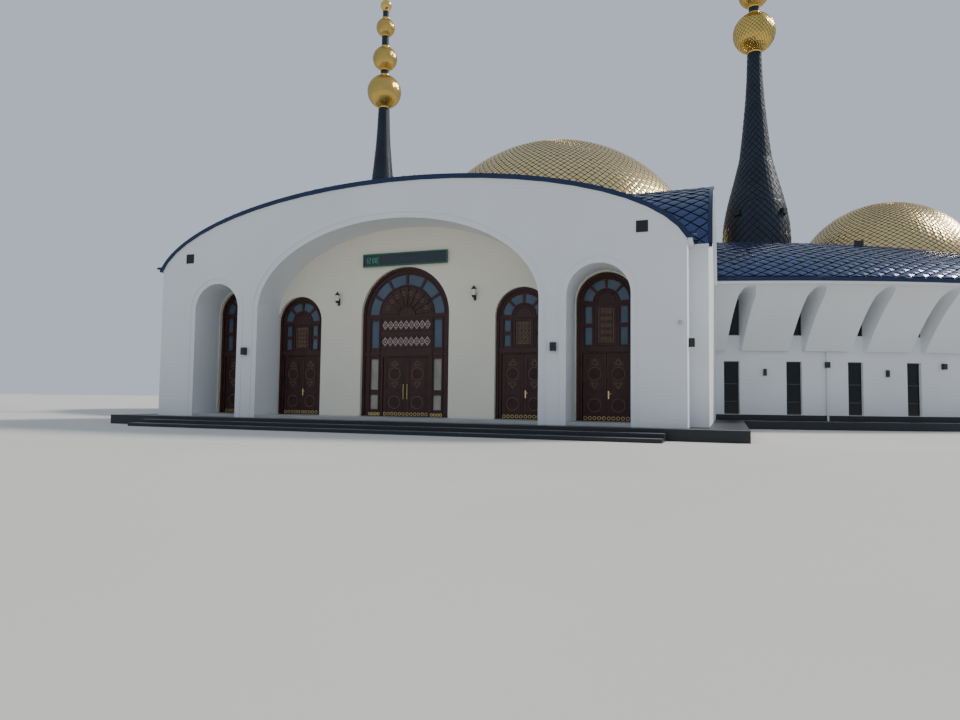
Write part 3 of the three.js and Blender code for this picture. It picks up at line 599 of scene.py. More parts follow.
def minaret_radius(z):
    for (r0, z0), (r1, z1) in zip(MINARET_OUTLINE, MINARET_OUTLINE[1:]):
        if z <= z1:
            return r0 + (r1 - r0) * max(z - z0, 0.0) / (z1 - z0)
    return MINARET_OUTLINE[-1][0]


def evenly(curve, low, high, steps=80):
    """Gives the value at a share of the curve's length between two values."""
    values, runs = spread(low, high, steps), [0.0]
    for a, b in zip(values, values[1:]):
        runs.append(runs[-1] + dist(curve(a), curve(b)))

    def at(share):
        wanted = min(max(share, 0.0), 1.0) * runs[-1]
        k = min(max(bisect_left(runs, wanted), 1), steps)
        return values[k - 1] + (values[k] - values[k - 1]) * (wanted - runs[k - 1]) / (runs[k] - runs[k - 1])
    return at


def roof_surface():
    depth_at = evenly(lambda depth: roof_point(depth, pi / 2), ROOF_CORE, ROOF_EDGE)
    turn_at = evenly(lambda turn: roof_point(ROOF_B, turn), 0.0, 2 * pi, 360)

    def surface(u, v):
        depth, turn = depth_at(v), turn_at(u % 1.0)
        around = roof_point(depth, turn + TURN_STEP) - roof_point(depth, turn - TURN_STEP)
        down = roof_point(depth + DEPTH_STEP, turn) - roof_point(depth - DEPTH_STEP, turn)
        return roof_point(depth, turn), down.cross(around).normalized()
    return surface


def on_hall_roof_blocked(point):
    x, y, z = point
    for dome_x, radius, centre_z, _ in DOMES.values():
        if dist(point, (dome_x, HALL_Y, centre_z)) < radius - DOME_LAP:
            return True
    if hypot(abs(x) - MINARET_X, y - MINARET_Y) < MINARET_OUTLINE[0][0] - MINARET_LAP:
        return True
    return y < VAULT_END_Y and z < crown_height(x)


# Pieces

def hall_wall_shape():
    """The right half of the oval wall, with its coved top, windows and niches."""
    shape = Shape()
    cove_steps, high_steps, head_steps, pier_steps = 10, 6, 8, 3
    least_rise = 0.05
    spring_turn = asin((UPPER_SPRING - COVE_FOOT) / COVE_HEIGHT)
    cove = [COVE_FOOT + COVE_HEIGHT * sin(t) for t in spread(0, spring_turn, cove_steps)]

    def above(z):
        """Heights from a point of the cove up to the wall's top."""
        turn = asin(min((z - COVE_FOOT) / COVE_HEIGHT, 1.0))
        return [COVE_FOOT + COVE_HEIGHT * sin(t) for t in spread(turn, pi / 2, high_steps)[1:]] + [WALL_TOP]

    plain = [TERRACE_Z, LOWER_SILL, LOWER_HEAD, LEDGE_FOOT] + cove + above(UPPER_SPRING)
    inside = [TERRACE_Z, WALL_TOP]
    niche = [LEDGE_FOOT, UPPER_SILL]
    low_jamb = [LEDGE_FOOT] + [z for z in cove if z < UPPER_SILL - least_rise] + [UPPER_SILL]
    high_jamb = [UPPER_SILL] + [z for z in cove if z > UPPER_SILL + least_rise]
    xs = spread(-WINDOW_HALF, WINDOW_HALF, head_steps)
    heads = [UPPER_SPRING + UPPER_RISE * sqrt(max(1 - (x / WINDOW_HALF) ** 2, 0.0)) for x in xs]

    def strip(left, right, flip=False):
        """A band of faces between two rows of points with as many points each."""
        n = len(left)
        faces = [(i, n + i, n + i + 1, i + 1) for i in range(n - 1)]
        shape.add(left + right, [f[::-1] for f in faces] if flip else faces)

    def outer(arc, heights):
        return [on_wall(arc, cove_offset(z), z) for z in heights]

    def inner(arc, heights, offset=-WALL_THICKNESS):
        return [on_wall(arc, offset, z) for z in heights]

    def through(arc, z, offset=0.0):
        """Both ends of a line through the wall."""
        return [on_wall(arc, offset, z), on_wall(arc, -WALL_THICKNESS, z)]

    def beside_portal(heights, offset_at):
        """Points of the wall's end, in the plane of the portal's side."""
        places = [oval(-acos(BLOCK_HALF / (WALL_A + offset_at(z))), offset_at(z)) for z in heights]
        return [(BLOCK_HALF + CLEARANCE, y, z) for (_, y), z in zip(places, heights)]

    first = FIRST_WINDOW - WINDOW_HALF
    strip(beside_portal(plain, cove_offset), outer(first, plain))
    strip(beside_portal(inside, lambda z: -WALL_THICKNESS), inner(first, inside), True)
    for bay in range(BAYS):
        middle = FIRST_WINDOW + bay * PITCH
        for k in range(head_steps):
            a, b = middle + xs[k], middle + xs[k + 1]
            ha, hb = heads[k], heads[k + 1]
            for heights in ([TERRACE_Z, LOWER_SILL], [LOWER_HEAD, LEDGE_FOOT]):
                strip(outer(a, heights), outer(b, heights))
            strip(inner(a, niche, 0.0), inner(b, niche, 0.0))
            strip(outer(a, [ha] + above(ha)), outer(b, [hb] + above(hb)))
            strip(through(a, ha, cove_offset(ha)), through(b, hb, cove_offset(hb)), True)
            for z, flip in ((LOWER_SILL, False), (LOWER_HEAD, True), (UPPER_SILL, False)):
                strip(through(a, z), through(b, z), flip)
            for heights in ([TERRACE_Z, LOWER_SILL], [LOWER_HEAD, UPPER_SILL]):
                strip(inner(a, heights), inner(b, heights), True)
            strip(inner(a, [ha, WALL_TOP]), inner(b, [hb, WALL_TOP]), True)
        for arc, flip in ((middle - WINDOW_HALF, False), (middle + WINDOW_HALF, True)):
            strip(outer(arc, [LOWER_SILL, LOWER_HEAD]), inner(arc, [LOWER_SILL, LOWER_HEAD]), flip)
            strip(outer(arc, low_jamb), inner(arc, low_jamb, 0.0), flip)
            strip(outer(arc, high_jamb), inner(arc, high_jamb), flip)
        start = middle + WINDOW_HALF
        end = HALF_ROUND if bay == BAYS - 1 else middle + PITCH - WINDOW_HALF
        pier = spread(start, end, pier_steps)
        for a, b in zip(pier, pier[1:]):
            strip(outer(a, plain), outer(b, plain))
            strip(inner(a, inside), inner(b, inside), True)
    return shape


def build_hall_walls():
    walls = hall_wall_shape()
    walls.reflected()
    names = [f"hall_wall_{place}_{side}" for place in ("front", "end", "back") for side in ("right", "left")]
    walls.finish("hall_walls", "plaster", "plaster", crease=25.0, stands_for=names)

    plinth = Shape()
    thick, parts = 0.03, 4
    for bay in range(-1, BAYS):
        start = FIRST_WINDOW + bay * PITCH + WINDOW_HALF if bay >= 0 else PLINTH_START
        end = min(FIRST_WINDOW + (bay + 1) * PITCH - WINDOW_HALF, HALF_ROUND)
        arcs = spread(start, end, parts)
        for a, b in zip(arcs, arcs[1:]):
            corners = [on_wall(arc, out, z) for arc in (a, b) for out in (0.0, thick)
                       for z in (TERRACE_Z, PLINTH_TOP)]
            plinth.add(corners, [(2, 6, 7, 3), (1, 3, 7, 5), (0, 1, 3, 2), (4, 6, 7, 5)])
        if bay >= 0:
            place = bay_place(FIRST_WINDOW + bay * PITCH)
            plinth.box(-WINDOW_HALF, WINDOW_HALF, -thick, 0.0, TERRACE_Z, PLINTH_TOP, place=place)
    plinth.reflected()
    plinth.finish("wall_plinth", "granite", "granite", closed=False)


def build_hall_windows():
    bars, panes = Shape(), Shape()
    steps = 16
    lower = rectangle(-WINDOW_HALF, WINDOW_HALF, LOWER_SILL, LOWER_HEAD)
    lights = [rectangle(-WINDOW_EDGE, WINDOW_EDGE, low, high) for low, high in LOWER_PANES]
    upper = arch_outline(0, WINDOW_HALF, UPPER_SPRING, UPPER_RISE, UPPER_SILL, steps)
    light = arch_outline(0, WINDOW_EDGE, UPPER_SPRING, UPPER_RISE - 0.05, UPPER_SILL + 0.06, steps)
    lower_near, lower_far = (LOWER_BARS[0] + depth for depth in PANE_DEPTHS)
    upper_near, upper_far = (UPPER_BARS[0] + depth for depth in PANE_DEPTHS)
    low, high = LOWER_PANES[0][0], LOWER_PANES[-1][1]
    for bay in range(BAYS):
        place = bay_place(FIRST_WINDOW + bay * PITCH)
        bars.plate(lower, lights, *LOWER_BARS, place=place)
        panes.box(-WINDOW_EDGE, WINDOW_EDGE, lower_near, lower_far, low, high, place=place)
        bars.plate(upper, [light], *UPPER_BARS, place=place)
        panes.plate(light, [], upper_near, upper_far, place=place)
    bars.reflected()
    panes.reflected()
    bars.finish("window_bars", "bar", "carved_wood", closed=False)
    panes.finish("window_panes", "pane", "pane", closed=False,
                 stands_for=("lower_window_glass", "upper_window_glass"))


def build_hall_roof(settings):
    tiles = Shape()
    lay_shingles(tiles, roof_surface(), ROOF_ROWS, ROOF_COLUMNS, settings.shingle_lift, on_hall_roof_blocked)
    tiles.finish("hall_roof_shingles", "blue", "blue_shingle", crease=1.0, closed=False)

    edge, soffit = Shape(), Shape()
    angles = spread(-EAVE_START, pi + EAVE_START, EAVE_STEPS)
    for a, b in zip(angles, angles[1:]):
        for shape, (near, far, low, high) in ((edge, EAVE_EDGE), (soffit, EAVE_SOFFIT)):
            corners = [(*oval(t, e), z) for t in (a, b) for e in (near, far) for z in (low, high)]
            shape.add(corners, [(2, 6, 7, 3), (1, 3, 7, 5), (0, 4, 6, 2), (0, 1, 5, 4)])
    edge.finish("eave_edge", "trim", "blue_shingle", closed=False)
    soffit.finish("eave_soffit", "plaster", "plaster", closed=False)

    box = Shape()
    box.box(*ROOF_BOX)
    box.finish("roof_box", "black", "dark_shingle")


def along_blocked(point):
    x, y, z = point
    if cross_height(x, y) > z + CLEARANCE:
        return True
    rho = hypot(x / (WALL_A + EAVE_REACH), (y - HALL_Y) / (WALL_B + EAVE_REACH))
    return rho < 1 and z < EAVE_TOP + ROOF_RISE * (1 - rho ** ROOF_POWER)


def across_blocked(point):
    return crown_height(point[0]) > point[2] + CLEARANCE


def portal_shingles(lift):
    shape = Shape()
    front, length = -0.05, VAULT_END_Y + 1.0
    crown_turn = evenly(lambda t: (CROWN_A * cos(t), CROWN_B * sin(t)),
                        pi / 2, acos(VAULT_REACH / CROWN_A))
    cross_turn = evenly(lambda t: (CROSS_HALF * cos(t), CROSS_RISE * sin(t)), pi / 2, 0.0)
    for side in (-1, 1):
        def along(u, v):
            turn = crown_turn(v)
            x = side * CROWN_A * cos(turn)
            normal = Vector((x / CROWN_A ** 2, 0, sin(turn) / CROWN_B)).normalized()
            y = front + length * (u if side < 0 else 1 - u)
            return Vector((x, y, CROWN_Z + CROWN_B * sin(turn))), normal
        lay_shingles(shape, along, *CROWN_SHINGLES, lift, along_blocked, closed=False)
        for end in (-1, 1):
            def across(u, v):
                turn = cross_turn(v)
                y = CROSS_Y + side * CROSS_HALF * cos(turn)
                normal = Vector((0, side * cos(turn) / CROSS_HALF, sin(turn) / CROSS_RISE)).normalized()
                x = end * (BLOCK_HALF + 0.02) * u
                return Vector((x, y, CROSS_SPRING + CROSS_RISE * sin(turn))), normal
            lay_shingles(shape, across, *CROSS_SHINGLES, lift, across_blocked, closed=False)
    return shape


def build_portal_roof(settings):
    tiles = portal_shingles(settings.shingle_lift)
    tiles.finish("portal_roof_shingles", "blue", "blue_shingle", crease=1.0, closed=False)

    edge = Shape()
    near, far = -0.08, 0.3
    upper = crown_outline(VAULT_REACH, -0.02)
    lower = crown_outline(PORTAL_HALF, VAULT_THICKNESS)
    edge.plate([*upper, (VAULT_REACH, VAULT_FOOT), *lower[::-1], (-VAULT_REACH, VAULT_FOOT)], [], near, far)
    for side in (-1, 1):
        inside, outside = side * (PORTAL_HALF + 0.1), side * (PORTAL_HALF + 0.38)
        edge.box(inside, outside, near, far, VAULT_FOOT + 0.16, VAULT_FOOT + 0.26)
    edge.finish("portal_eave_edge", "trim", "blue_shingle", crease=40.0)

    verge, soffit = Shape(), Shape()
    steps = 36
    for side in (-1, 1):
        x0, x1 = sorted((side * (BLOCK_HALF + 0.005), side * (GABLE_END + 0.02)))
        for shape, low, high, inside, outside in (
                (verge, 27, 178, -0.08, 0.06), (soffit, 0, 178, -0.22, -0.081), (soffit, 0, 27, -0.08, 0.06)):
            turns = spread(radians(low), radians(high), steps)
            upper, lower = (ellipse(CROSS_Y, CROSS_SPRING, CROSS_HALF + out, CROSS_RISE + out, turns)
                            for out in (outside, inside))
            shape.plate(upper + lower[::-1], [], x0, x1, place=lambda y, x, z: (x, y, z))
    verge.finish("gable_verges", "trim", "blue_shingle", crease=40.0)
    soffit.finish("gable_verge_soffits", "plaster", "plaster", crease=40.0, closed=False)


def build_portal_walls():
    crown = crown_outline(PORTAL_HALF, VAULT_THICKNESS)
    steps = 64
    main, right, left = (arch_outline(*arch, TERRACE_Z, steps) for arch in ARCHES)
    face = Shape()
    outline = [(-PORTAL_HALF, TERRACE_Z), *left, *main, *right, (PORTAL_HALF, TERRACE_Z), *crown[::-1]]
    face.plate(outline, [], 0.0, FACADE_DEPTH)
    face.finish("portal_face", "plaster", "plaster", crease=35.0, stands_for=("facade_wall",))

    trim = Shape()
    for centre, half, spring, rise in ARCHES:
        outer, inner = (arch_outline(centre, half + out, spring, rise + out, TERRACE_Z, steps)
                        for out in (0.33, 0.27))
        trim.plate(outer + inner[::-1], [], -0.03, 0.01)
    for side in (-1, 1):
        trim.box(side * 7.1, side * 13.23, -0.008, 0.01, 7.19, 7.215)
    trim.finish("portal_mouldings", "plaster", "plaster", crease=35.0)

    back = Shape()
    outline = [(-BLOCK_HALF, TERRACE_Z)]
    for _, centre, half, spring, *_ in DOORS:
        outline += arch_outline(centre, half, spring, half, TERRACE_Z)
    outline += [(BLOCK_HALF, TERRACE_Z), (BLOCK_HALF, VAULT_FOOT), (PORTAL_HALF + CLEARANCE, VAULT_FOOT)]
    outline += crown[::-1] + [(-PORTAL_HALF - CLEARANCE, VAULT_FOOT), (-BLOCK_HALF, VAULT_FOOT)]
    back.plate(outline, [], FACADE_DEPTH + CLEARANCE, DOOR_WALL_BACK)
    back.finish("door_wall_face", "cream", "cream_plaster", crease=35.0, stands_for=("door_wall",))

    shoulders = Shape()
    for side in (-1, 1):
        shoulders.box(side * PORTAL_HALF, side * BLOCK_HALF, FACADE_DEPTH - 0.01, FACADE_DEPTH + CLEARANCE,
                      TERRACE_Z, VAULT_FOOT)
        shoulders.box(side * (PORTAL_HALF - 0.01), side * (BLOCK_HALF + 0.02), FACADE_DEPTH - 0.16,
                      FACADE_DEPTH + 0.2, VAULT_FOOT, VAULT_FOOT + 0.1)
    shoulders.finish("portal_shoulders", "plaster", "plaster", closed=False)


def ornament_row(shape, x0, x1, z0, z1, y, tone):
    """A band of interlaced rings and lozenges."""
    height, z = z1 - z0, (z0 + z1) / 2
    count = max(round((x1 - x0) / height / 0.62), 1)
    pitch = (x1 - x0) / count
    for i in range(count):
        x = x0 + pitch * (i + 0.5)
        shape.ring(x, y, z, height * 0.27, 0.01, tone, 14)
        shape.ring(x, y, z, height * 0.1, 0.01, tone, 8)
        for up in (-1, 1):
            for end in (x - pitch / 2, x + pitch / 2):
                shape.rod((end, y, z), (x, y, z + up * height * 0.46), 0.009, tone, 4)


def frame_bars(shape, x0, x1, z0, z1, width, y0, y1, tone=0):
    """A rectangular picture frame of flat bars."""
    hole = rectangle(x0 + width, x1 - width, z0 + width, z1 - width)
    shape.plate(rectangle(x0, x1, z0, z1), [hole], y0, y1, tone)


def centre_ornament(shape, spring):
    """The ribs, bands of ornament and kick rings of the middle door's frame."""
    ribs, rib_in, rib_out, rib_half = 9, 0.52, 1.36, 0.07
    eyes, back = 1.08, FRAME_FRONT
    for i in range(ribs):
        turn = pi * (i + 0.5) / ribs
        rib = ring_slice(0, spring, rib_in, rib_out, turn - rib_half, turn + rib_half, 3)
        shape.plate(rib, [], back - 0.04, back)
        between = pi * (i + 1) / ribs
        if i + 1 < ribs:
            shape.ring(eyes * cos(between), back, spring + eyes * sin(between), 0.09, 0.014, CARVING, 12)
    shape.ring(0, back, spring, 0.46, 0.05, WOOD, 24, 0, pi)
    for low, high in ((4.84, 5.3), (4.02, 4.5)):
        frame_bars(shape, -1.37, 1.37, low - 0.06, high + 0.06, 0.04, back - FRAME_RELIEF, back)
        ornament_row(shape, -1.28, 1.28, low, high, back - 0.01, INLAY)
    for side in (-1, 1):
        for i in range(4):
            shape.ring(side * (1.42 + 0.16 * i), back - FRAME_RELIEF - 0.01, 0.72, 0.06, 0.018, BRASS, 12)


def side_ornament(shape, centre, low, high):
    """The carved field above a side door's leaves."""
    half, inset, rows, back = 0.46, 0.13, 5, FRAME_FRONT
    x0, x1 = centre - half, centre + half
    frame_bars(shape, x0, x1, low, high, 0.06, back - FRAME_RELIEF, back)
    frame_bars(shape, x0 + inset, x1 - inset, low + inset, high - inset, 0.02, back - 0.015, back, CARVING)
    for i in range(rows):
        z = low + inset + (high - low - 2 * inset) * (i + 0.5) / rows
        ornament_row(shape, centre - 0.25, centre + 0.25, z - 0.12, z + 0.12, back - 0.005, CARVING)


def door_frame_shape(door):
    name, centre, half, spring, leaf_half, leaf_top, fan, (pane_in, pane_out, rows) = door
    fan_in, fan_out, sectors = fan
    shape = Shape()
    foot, front, back = FLOOR_Z + CLEARANCE, FRAME_FRONT - FRAME_RELIEF, FRAME_FRONT
    outline = arch_outline(centre, half - CLEARANCE, spring, half - CLEARANCE, foot)
    doorway = rectangle(centre - leaf_half, centre + leaf_half, foot, leaf_top)
    holes = []
    for low, high in rows:
        holes.append(rectangle(centre + pane_in, centre + pane_out, low, high))
        holes.append(rectangle(centre - pane_out, centre - pane_in, low, high))
    sector, bar = pi / sectors, 0.07 / fan_out
    for i in range(sectors):
        holes.append(ring_slice(centre, spring, fan_in, fan_out, i * sector + bar, (i + 1) * sector - bar))
    shape.plate(outline + doorway[::-1], holes, FRAME_FRONT, FRAME_BACK)

    reach = half - 0.13
    shape.plate(outline + arch_outline(centre, reach, spring, reach, foot)[::-1], [], back - 0.07, back)
    for radius in (fan_out + 0.07, fan_in - 0.06):
        shape.ring(centre, back, spring, radius, 0.03, WOOD, 32, 0, pi)
    rail_top, head = leaf_top + 0.26, spring - 0.09
    for low, high in ((leaf_top + 0.06, rail_top), (head, spring - 0.02)):
        shape.box(centre - reach, centre + reach, front, back, low, high)
    for side in (-1, 1):
        for x, wide in ((pane_in - 0.09, 0.04), (pane_out + 0.05, 0.03)):
            low = foot if name == "centre" else rail_top
            shape.box(centre + side * x, centre + side * (x + wide), front, back, low, head)
        for low, high in rows:
            x0, x1 = sorted((centre + side * (pane_in - 0.03), centre + side * (pane_out + 0.03)))
            frame_bars(shape, x0, x1, low - 0.03, high + 0.03, 0.03, back - 0.02, back)
    if name == "centre":
        centre_ornament(shape, spring)
    else:
        side_ornament(shape, centre, rows[0][0] - 0.02, spring - 0.16)
        shape.ring(centre, back, spring + 0.02, 0.4, 0.03, WOOD, 20, 0, pi)
    return shape


def leaf_ornament(shape, middle, radius):
    """Two medallions of rings, with a sprig over and under the upper one."""
    for z in MEDALLIONS:
        shape.ring(middle, LEAF_FRONT, z, radius, 0.013, CARVING, 28)
        shape.ring(middle, LEAF_FRONT, z, radius * 0.82, 0.01, WOOD, 20)
        for i in range(8):
            turn, out = pi * i / 4, radius * 0.45
            x, up = middle + out * cos(turn), z + out * sin(turn)
            shape.ring(x, LEAF_FRONT, up, radius * 0.24, 0.009, WOOD, 10)
    for way in (1, -1):
        z = MEDALLIONS[1] + way * (radius + 0.2)
        shape.ring(middle, LEAF_FRONT, z, 0.1, 0.012, CARVING, 12)
        for lean in (-1, 1):
            shape.ring(middle + lean * 0.13, LEAF_FRONT, z - way * 0.05, 0.055, 0.01, CARVING, 10)
            shape.rod((middle + lean * 0.09, LEAF_FRONT, z + way * 0.05), (middle, LEAF_FRONT, z + way * 0.2),
                      0.01, CARVING, 4)


def door_handle(shape, x, name):
    """A long pull on the middle door, and a plate with a lever on the others."""
    out = LEAF_FRONT - 0.06
    if name == "centre":
        shape.rod((x, out, 1.45), (x, out, 2.18), 0.014, LEAF_BRASS)
        for z in (1.5, 2.13):
            shape.rod((x, out, z), (x, LEAF_FRONT, z), 0.014, LEAF_BRASS)
    else:
        shape.box(x - 0.03, x + 0.03, LEAF_FRONT - 0.012, LEAF_FRONT, 1.58, 1.92, LEAF_BRASS)
        shape.rod((x, out, 1.8), (x, LEAF_FRONT, 1.8), 0.014, LEAF_BRASS)
        shape.rod((x - 0.01, out, 1.8), (x + 0.12, out, 1.8), 0.014, LEAF_BRASS)


def door_leaf_shape(door, side):
    name, centre, _, _, leaf_half, leaf_top, _, _ = door
    shape = Shape()
    x0, x1 = sorted((centre + side * MEETING_PLAY, centre + side * (leaf_half - HINGE_PLAY)))
    low, high = FLOOR_Z + LEAF_PLAY, leaf_top - LEAF_PLAY
    shape.box(x0, x1, LEAF_FRONT, LEAF_BACK, low, high)
    middle, wide = (x0 + x1) / 2, x1 - x0
    for z0, z1 in ((0.86, 1.74), (1.88, high - 0.1)):
        frame_bars(shape, x0 + 0.12, x1 - 0.12, z0, z1, 0.05, LEAF_FRONT - 0.018, LEAF_FRONT)
        frame_bars(shape, x0 + 0.21, x1 - 0.21, z0 + 0.09, z1 - 0.09, 0.02, LEAF_FRONT - 0.01, LEAF_FRONT)
    leaf_ornament(shape, middle, min(0.3, wide * 0.28))
    count = int(wide / 0.18)
    for i in range(count):
        shape.ring(x0 + wide * (i + 0.5) / count, LEAF_FRONT - 0.012, 0.735, 0.07, 0.013, LEAF_BRASS, 12)
    if name == "centre" or side > 0:
        door_handle(shape, centre + side * 0.1, name)
    pivot, depth, hold = centre + side * (leaf_half - PIVOT_IN), (LEAF_FRONT + LEAF_BACK) / 2, 0.02
    for z0, z1 in ((FLOOR_Z + CLEARANCE, low + hold), (high - hold, leaf_top - CLEARANCE)):
        shape.rod((pivot, depth, z0), (pivot, depth, z1), 0.02, LEAF_BRASS)
    return shape


def door_panes():
    """The panes of the doors' fans and side lights; the lowest are pale, for curtains behind them and a
    painted reflection of light surroundings.
    """
    shape = Shape()
    y0, y1 = FRAME_FRONT + 0.04, FRAME_FRONT + 0.05
    for _, centre, _, spring, _, _, (fan_in, fan_out, _), (pane_in, pane_out, rows) in DOORS:
        shape.plate(ring_slice(centre, spring, fan_in - 0.02, fan_out + 0.02, 0.0, pi, 32), [], y0, y1)
        for low, high in rows:
            for side in (-1, 1):
                x0, x1 = centre + side * (pane_in - 0.01), centre + side * (pane_out + 0.01)
                # Panes below the pale-pane height get the pale tone: curtains, with a painted reflection
                shape.box(x0, x1, y0, y1, low - 0.01, high + 0.01, 1 if high < PALE_PANE_TOP else 0)
    shape.finish("door_panes", "door_pane curtained_pane", "pane", closed=False, stands_for=("door_glass",))


def build_doors():
    door_panes()
    for door in DOORS:
        name = door[0]
        door_frame_shape(door).finish(
            f"carved_frame_{name}", FRAME_LOOKS, "carved_wood", closed=False,
            stands_for=(f"door_frame_{name}",))
        for side, word in ((-1, "left"), (1, "right")):
            door_leaf_shape(door, side).finish(
                f"carved_leaf_{name}_{word}", LEAF_LOOKS, "carved_wood", body=f"leaf_{name}_{word}",
                closed=False, stands_for=(f"door_leaf_{name}_{word}",))


def build_domes(settings):
    cap_steps, cap_lift = 3, 0.03
    for name, (x, radius, centre_z, bands) in DOMES.items():
        shape = Shape()
        for top, foot, columns, rows in bands:
            surface = dome_surface(x, HALL_Y, radius, centre_z, top, foot)
            lay_shingles(shape, surface, rows, columns, settings.shingle_lift)
        cap = spread(pi / 2, radians(bands[0][0]), cap_steps)[1:]
        profile = ellipse(0.0, centre_z + cap_lift, radius, radius, cap)
        shape.turned(x, HALL_Y, [(POLE, centre_z + radius + cap_lift), *profile], 24)
        shape.finish(f"{name}_dome_shingles", "gold", "gold_shingle", crease=1.0, closed=False)


def minaret_core(x):
    """The dark body under the shingles, and the shafts that carry the balls."""
    shape = Shape()
    profile = [(max(r - MINARET_CORE_IN, 0.3), z) for r, z in MINARET_OUTLINE]
    tops = [ball[1] for ball in BALLS[1:]] + [SHAFT_TOP]
    feet = [MINARET_OUTLINE[-1][1]] + tops[:-1]
    for (_, _, _, bore, _, _), low, high in zip(BALLS, feet, tops):
        profile += [(bore, low), (bore, high)]
    shape.turned(x, MINARET_Y, profile + [(POLE, SHAFT_TOP)], 36)
    return shape


def minaret_shingles(x, lift):
    shape = Shape()
    for top, foot, columns, rows in MINARET_BANDS:
        surface = turned_surface(x, MINARET_Y, lambda z: minaret_radius(z) - MINARET_SHINGLES_IN, top, foot)
        lay_shingles(shape, surface, rows, columns, lift)
    return shape


def minaret_sockets(x):
    """Four dark boxes round the minaret."""
    shape = Shape()
    out = minaret_radius((SOCKET_BOX[4] + SOCKET_BOX[5]) / 2)
    first = -SOCKET_TURN if x > 0 else pi + SOCKET_TURN
    for i in range(4):
        c, t = cos(first + pi * i / 2), sin(first + pi * i / 2)

        def place(along, outward, z):
            return (x + (out + outward) * c - along * t, MINARET_Y + (out + outward) * t + along * c, z)
        shape.box(*SOCKET_BOX, place=place)
    return shape


def minaret_balls(x, lift):
    """The shingled balls, each round a smooth core and between two collars."""
    shape = Shape()
    steps = 28
    for _, z, radius, bore, columns, rows in BALLS:
        head, core = acos((bore + 0.02) / radius), radius - 0.03
        # The core under the shingles takes the second finish, a darker gold painted as the shade between
        # shingles
        shape.turned(x, MINARET_Y, ellipse(0.0, z, core, core, spread(-head, head, steps)), 48, 1)
        reach = degrees(head) - 1.0
        lay_shingles(shape, dome_surface(x, MINARET_Y, radius - 0.02, z, reach, -reach), rows, columns, lift)
        for side in (-1, 1):
            collar = z + side * radius * sin(head)
            shape.turned(x, MINARET_Y, [(bore + out, collar + up) for out, up in BALL_COLLAR], 32)
    return shape


def minaret_tip(x):
    """A stem of beads that carries a crescent, whose two arcs meet in its points."""
    shape = Shape()
    shape.turned(x, MINARET_Y, [(r, SHAFT_TOP + z) for r, z in TIP_OUTLINE], 32)
    tip_z = (CRESCENT_OUTER ** 2 - CRESCENT_INNER ** 2 + CRESCENT_RISE ** 2) / (2 * CRESCENT_RISE)
    tip_x = sqrt(CRESCENT_OUTER ** 2 - tip_z ** 2)
    centre, steps, arcs = SHAFT_TOP + CRESCENT_FOOT + CRESCENT_OUTER, 40, []
    for radius, rise in ((CRESCENT_OUTER, 0.0), (CRESCENT_INNER, CRESCENT_RISE)):
        start = atan2(tip_z - rise, tip_x)
        arcs.append(ellipse(x, centre + rise, radius, radius, spread(start, -pi - start, steps)))
    shape.plate(arcs[0][::-1] + arcs[1][1:-1], [], MINARET_Y - CRESCENT_HALF, MINARET_Y + CRESCENT_HALF)
    return shape


def build_minarets(settings):
    lift = settings.shingle_lift
    for word, x in (("left", -MINARET_X), ("right", MINARET_X)):
        minaret_core(x).finish(f"minaret_core_{word}", "dark", "dark_shingle",
                               stands_for=(f"minaret_{word}",))
        minaret_shingles(x, lift * 0.6).finish(f"minaret_shingles_{word}", "dark", "dark_shingle", crease=1.0,
                                               closed=False)
        minaret_sockets(x).finish(f"minaret_sockets_{word}", "black", "dark_shingle", closed=False)
        minaret_balls(x, lift * 0.8).finish(
            f"gilded_balls_{word}", "gilding gold_gap", "gilding", crease=1.0, closed=False,
            stands_for=[f"{ball[0]}_ball_{word}" for ball in BALLS])
        minaret_tip(x).finish(f"gilded_tip_{word}", "gilding", "gilding", closed=False,
                              stands_for=(f"finial_{word}",))


def box_lamp(shape, size, place):
    """A box on a wall, with its glass underneath."""
    half, deep, low, high, glass_half, glass_out, glass_in = size
    shape.box(-half, half, -deep, 0.0, low, high, place=place)
    shape.box(-glass_half, glass_half, -glass_out, -glass_in, low - 0.01, low, 1, place)


def wall_lamps():
    shape = Shape()
    for x0, y0, z0 in PORTAL_LAMP_PLACES:
        for side in (1, -1):
            box_lamp(shape, PORTAL_LAMP, lambda x, y, z: (side * x0 + x, y0 + y, z0 + z))
    axis = FACADE_DEPTH - 0.18
    for x in (3.65, -3.65):
        shape.turned(x, axis, [(POLE, 6.2), (0.07, 6.22), (0.1, 6.3), (0.1, 6.32)], 16)
        shape.turned(x, axis, [(0.09, 6.32), (0.09, 6.6)], 16, 1)
        shape.turned(x, axis, [(0.11, 6.6), (0.12, 6.64), (0.04, 6.74), (POLE, 6.8)], 16)
        shape.rod((x, axis, 6.25), (x, FACADE_DEPTH, 6.25), 0.025)
        shape.box(x - 0.06, x + 0.06, FACADE_DEPTH - 0.03, FACADE_DEPTH, 6.1, 6.45)
    for bay in range(BAYS - 1):
        place = bay_place(FIRST_WINDOW + (bay + 0.5) * PITCH + 0.1)
        for side in (-1, 1):
            def put(x, inward, z):
                px, py, pz = place(x, inward, z)
                return (side * px, py, pz)
            box_lamp(shape, HALL_LAMPS[bay % 2], put)
    return shape


def digit_bars(shape, x, y, z, digit):
    """A plain digit of thin bars."""
    for bar in DIGITS[digit]:
        x0, x1, z0, z1 = DIGIT_BARS[bar]
        shape.box(x + x0, x + x1, y, y + 0.01, z + z0, z + z1, 2)


